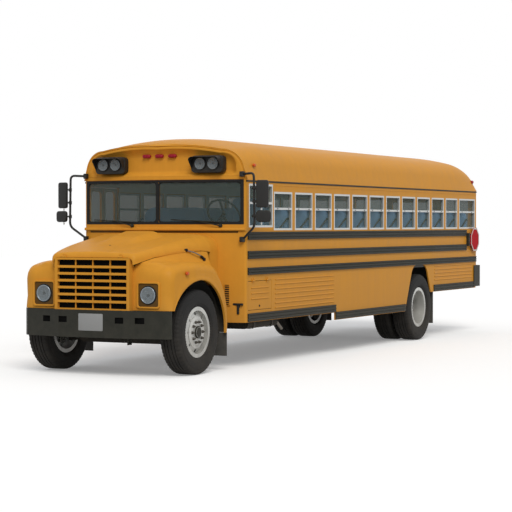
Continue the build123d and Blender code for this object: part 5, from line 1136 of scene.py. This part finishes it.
# Stop sign: a white border ring on both faces
sign = {"x": -4.985, "z": 1.571, "outer": 0.196, "inner": 0.172, "faces": ((1.245, 1), (1.238, -1)),
        "proud": 0.0007}
corners = np.radians(22.5 + 45 * np.arange(8))
borders = []
for face, way in sign["faces"]:
    rings = []
    for across, out in (("outer", -0.001), ("outer", sign["proud"]), ("inner", sign["proud"]), ("inner", -0.001)):
        r = sign[across] / math.cos(math.pi / 8)
        rings.append(np.stack([sign["x"] + r * np.cos(corners), np.full(8, face + way * out),
                               sign["z"] + r * np.sin(corners)], -1))
    borders.append(hoop(rings))
addPiece("stop_sign_border", borders, signWhite, body="stop_arm")

# Interior: pale lining below, between and above the windows, and a bowed ceiling with ribs
lining = {"y": 1.1475, "back": -5.13, "front": 3.53, "doorX": 2.805, "cabX": 2.79, "windowsFrom": 2.812,
          "low": 1.196, "sill": 1.748, "head": 2.268, "cabHead": (2.357, 2.33), "top": eaveZ}
back, front, cabX, top = lining["back"], lining["front"], lining["cabX"], lining["top"]


def liningPanel(x0, x1, z0, z1, side):
    # Thin sheet between two x and two z, inside the wall of that side.
    centre = (x0 + x1) / 2, side * lining["y"], (z0 + z1) / 2
    return slab(centre, (abs(x1 - x0) / 2, 0.0015, (z1 - z0) / 2), 0.006, 0.0006, 1)


panels = []
edges = [lining["windowsFrom"]] + [v for x, wide in openings for v in (x, x - wide)] + [back]
for side, below, cabHead in ((1, front, lining["cabHead"][0]), (-1, lining["doorX"], lining["cabHead"][1])):
    panels += [liningPanel(back, below, lining["low"], lining["sill"], side),
               liningPanel(back, cabX, lining["head"], top, side), liningPanel(cabX, front, cabHead, top, side)]
    panels += [liningPanel(x1, x0, lining["sill"], lining["head"], side) for x0, x1 in zip(edges[::2], edges[1::2])]


def ceiling(x, inset):
    # Rows along x of the roof's inner outline, lowered with the roof's front and rear ends.
    q = np.clip((x - frontCap["start"]) / (frontCap["full"] - frontCap["start"]), 0, 0.99)
    b = np.clip((rearCap["start"] - x) / (rearCap["start"] - rearCap["end"]), 0, 0.99)
    q, b = 1 - np.sqrt(1 - q ** 2), 1 - np.sqrt(1 - b ** 2)
    drop, draw = (frontCap[key] * q + rearCap[key] * b for key in ("drop", "draw"))
    y, z = roofOutline(drop, draw, inset, eaveZ - 0.002)
    return shell(bothSides(x[:, None] + 0 * y, y, z), 0.003, inside=(0, 0, 1.6))


panels.append(ceiling(np.linspace(-5.08, 3.5, 60), 0.05))
for x, wide in openings[:-1]:
    ribX = x - wide - 0.0415
    panels.append(ceiling(np.array([ribX - 0.02, ribX + 0.02]), 0.056))
addPiece("interior_lining", panels, liningCream)

# Cushion profile from the middle of its underside over the edge to the middle of its top, as scale and lift
cushion = {"scale": [0.03, 0.6, 0.93, 0.985, 1.0, 0.988, 0.95, 0.87, 0.7, 0.5, 0.3, 0.12, 0.02],
           "lift": [-1, -1, -0.94, -0.6, 0, 0.55, 0.86, 0.97, 1, 1, 1, 1, 1], "count": 72, "piping": 0.004}


def pillow(half, corner, crown, pull, channels):
    # Cushion about the origin, thick along its third axis: a rounded outline whose sides pull in between the
    # corners, scaled by s and lifted to z; the top rises by crown (1 - s^2) and dips along sewn channels.
    outline = roundRect(half[0], half[1], corner, 5)
    closed = np.vstack([outline, outline[:1]])
    run = np.concatenate([[0], np.cumsum(np.linalg.norm(np.diff(closed, axis=0), axis=1))])
    at = np.linspace(0, run[-1], cushion["count"], endpoint=False)
    flat = np.stack([np.interp(at, run, closed[:, k]) for k in (0, 1)], -1)
    share = np.abs(flat) / np.array(half[:2])
    flat = flat - np.sign(flat) * pull * share ** 6 * (1 - share[:, ::-1] ** 2)
    s = np.array(cushion["scale"])[:, None]
    lift = np.array(cushion["lift"])[:, None]
    x, y = s * flat[:, 0], s * flat[:, 1]
    z = np.where(lift > 0, half[2] - crown, half[2]) * lift + np.where(lift > 0.5, crown * (1 - s ** 2), 0)
    for place, width, depth in channels:
        z = z - np.where(lift > 0.8, depth * np.exp(-((y - place) / width) ** 2), 0)
    a = np.linspace(0, 2 * np.pi, 6, endpoint=False)
    acrossX, acrossY = (k * flat[:, i, None] + np.sign(flat[:, i, None]) * cushion["piping"] * np.cos(a)
                        for i, k in ((0, 0.985), (1, 0.992)))
    piping = np.stack([acrossX, acrossY, 0.62 * (half[2] - crown) + 0.0045 * np.sin(a) + 0 * acrossX], -1)
    return loft(np.stack([x, y, np.broadcast_to(z, x.shape)], -1)), hoop(piping)


def stood(part, centre, lean):
    # Cushion's first axis up, its thickness forward, leaning back by lean for each metre of height.
    along, y, out = part[0].T
    return np.stack([centre[0] + out - lean * along, centre[1] + y, centre[2] + along], -1), part[1]


# Passenger benches, eleven on each side with a padded barrier ahead, and the driver's seat
bench = {"front": 1.975, "pitch": 0.643, "rows": 11, "middle": 0.6525, "half": 0.4915, "seatZ": 1.565,
         "backMiddle": 1.82, "backHalf": 0.25, "lean": 0.094, "aisle": 0.19, "outer": 1.13}
barrierOn = [(-i * bench["pitch"], 0, 0) for i in range(-1, bench["rows"])]
places = barrierOn[1:]
cushions, backs, frames = [], [], []
x = bench["front"]
for side in (1, -1):
    y, aisle, outer = side * bench["middle"], side * bench["aisle"], side * bench["outer"]
    for part in pillow((0.198, bench["half"], 0.054), 0.035, 0.014, 0.008, [(0.0, 0.012, 0.006)]):
        cushions.append(scatter(scatter(part, (x - 0.2, y, bench["seatZ"])), places))
    backHalf = (bench["backHalf"], bench["half"] - 0.012, 0.034)
    for part in pillow(backHalf, 0.15, 0.008, 0.008, [(0.0, 0.012, 0.004)]):
        backRest = stood(part, (x - 0.452, y - side * 0.012, bench["backMiddle"]), bench["lean"])
        backs.append(scatter(backRest, barrierOn))
    for legX in (x - 0.05, x - 0.34):
        legLine = [(legX, aisle, 1.515), (legX - 0.01, aisle, 1.36), (legX - 0.02, aisle, 1.2)]
        leg = tube(legLine, 0.0125, 8, forward)
        foot = slab((legX - 0.02, aisle, 1.194), (0.03, 0.022, 0.004), 0.01, 0.001, 2)
        frames += [scatter(leg, places), scatter(foot, places)]
    hoopLine = [(x - 0.03, outer, 1.58), (x - 0.03, outer, 1.71), (x - 0.41, outer, 1.92), (x - 0.43, outer, 1.9)]
    frames += [scatter(slab((x - 0.385, y, 1.352), (0.015, bench["half"], 0.158), 0.01, 0.004), barrierOn),
               scatter(tube(bend(hoopLine, 0.02, 4), 0.013, 8, acrossBus), barrierOn)]
seatCushions = addPiece("bench_cushions", cushions, vinyl, ["seats"])
seatBacks = addPiece("bench_backs", backs, vinyl)
addPiece("bench_frames", frames, blackPaint)

driver = {"seat": (2.595, 0.6, 1.585), "back": (2.345, 0.6, 1.905), "bellows": (2.585, 0.6), "folds": 13,
          "low": 1.192, "high": 1.528, "foldDeep": 0.012, "channelY": (-0.14, 0.14)}
seatChannels, backChannels = ([(y, 0.01, depth) for y in driver["channelY"]] for depth in (0.006, 0.005))
driverParts = [scatter(part, driver["seat"])
               for part in pillow((0.198, 0.248, 0.054), 0.05, 0.016, 0.01, seatChannels)]
driverParts += [stood(part, driver["back"], bench["lean"])
                for part in pillow((0.288, 0.248, 0.034), 0.09, 0.01, 0.012, backChannels)]
driverSeat = addPiece("driver_cushions", driverParts, vinyl, ["driver_seat"])
bellowRings = []
for k, z in enumerate(np.linspace(driver["low"], driver["high"], driver["folds"])):
    fold = driver["foldDeep"] * (k % 2)
    flat = roundRect(0.17 - fold, 0.128 - fold, 0.03)
    bellowRings.append(np.column_stack([flat + driver["bellows"], np.full(len(flat), z)]))
addPiece("driver_seat_bellows", [loft(bellowRings)], rubber)
print("interior made")

# Underneath: straps round the fuel tank, and the stub of its drain pipe
tankStraps = {"x": (2.34, 2.87), "centre": (0.715, 0.698), "half": (0.2475, 0.2345), "corner": 0.05, "wide": 0.02,
              "thick": 1.012}
strapLine = roundRect(*tankStraps["half"], tankStraps["corner"], 6)
straps = [hoop([facing(x + way * tankStraps["wide"], strapLine * k, tankStraps["centre"])
                for way, k in ((-1, 1.0), (-1, tankStraps["thick"]), (1, tankStraps["thick"]), (1, 1.0))])
          for x in tankStraps["x"]]
addPiece("tank_straps", straps, castIron)
stub = tube(bend([(2.2, 0.93, 0.56), (2.13, 0.94, 0.5), (2.03, 0.95, 0.42)], 0.03, 5), 0.02, 14, acrossBus)
addPiece("tank_stub", [stub], pipeSteel)

# Rear: rubber round the door's pane and the two windows, and the door's handle
rearPanes = {"door": ((0, 1.965), (0.352, 0.247)), "left": ((0.815, 2.0075), (0.247, 0.2545)),
             "right": ((-0.815, 2.0075), (0.247, 0.2545)), "x": backX - 0.001, "corner": 0.04}


def paneRubber(key):
    # Raised band round a pane, from its centre and half sizes.
    centre, (halfY, halfZ) = rearPanes[key]
    return hoop([facing(rearPanes["x"] + out, roundRect(halfY + d, halfZ + d, rearPanes["corner"], 5), centre)
                 for d, out in ((0.0, 0.0), (0.004, -0.006), (0.014, -0.006), (0.018, 0.0))])


addPiece("rear_door_rubber", [paneRubber("door")], rubber, body="rear_door")
addPiece("rear_window_rubber", [paneRubber("left"), paneRubber("right")], rubber)
handleLine = bend([(-5.19, 0.36, 1.6), (-5.206, 0.36, 1.6), (-5.206, 0.36, 1.5)], 0.008, 5)
rearHandle = [slab((-5.19, 0.36, 1.6), (0.006, 0.03, 0.05), 0.015, 0.003), tube(handleLine, 0.008, 10, acrossBus)]
addPiece("rear_door_handle", rearHandle, chrome, body="rear_door")
print("rear and underside made")
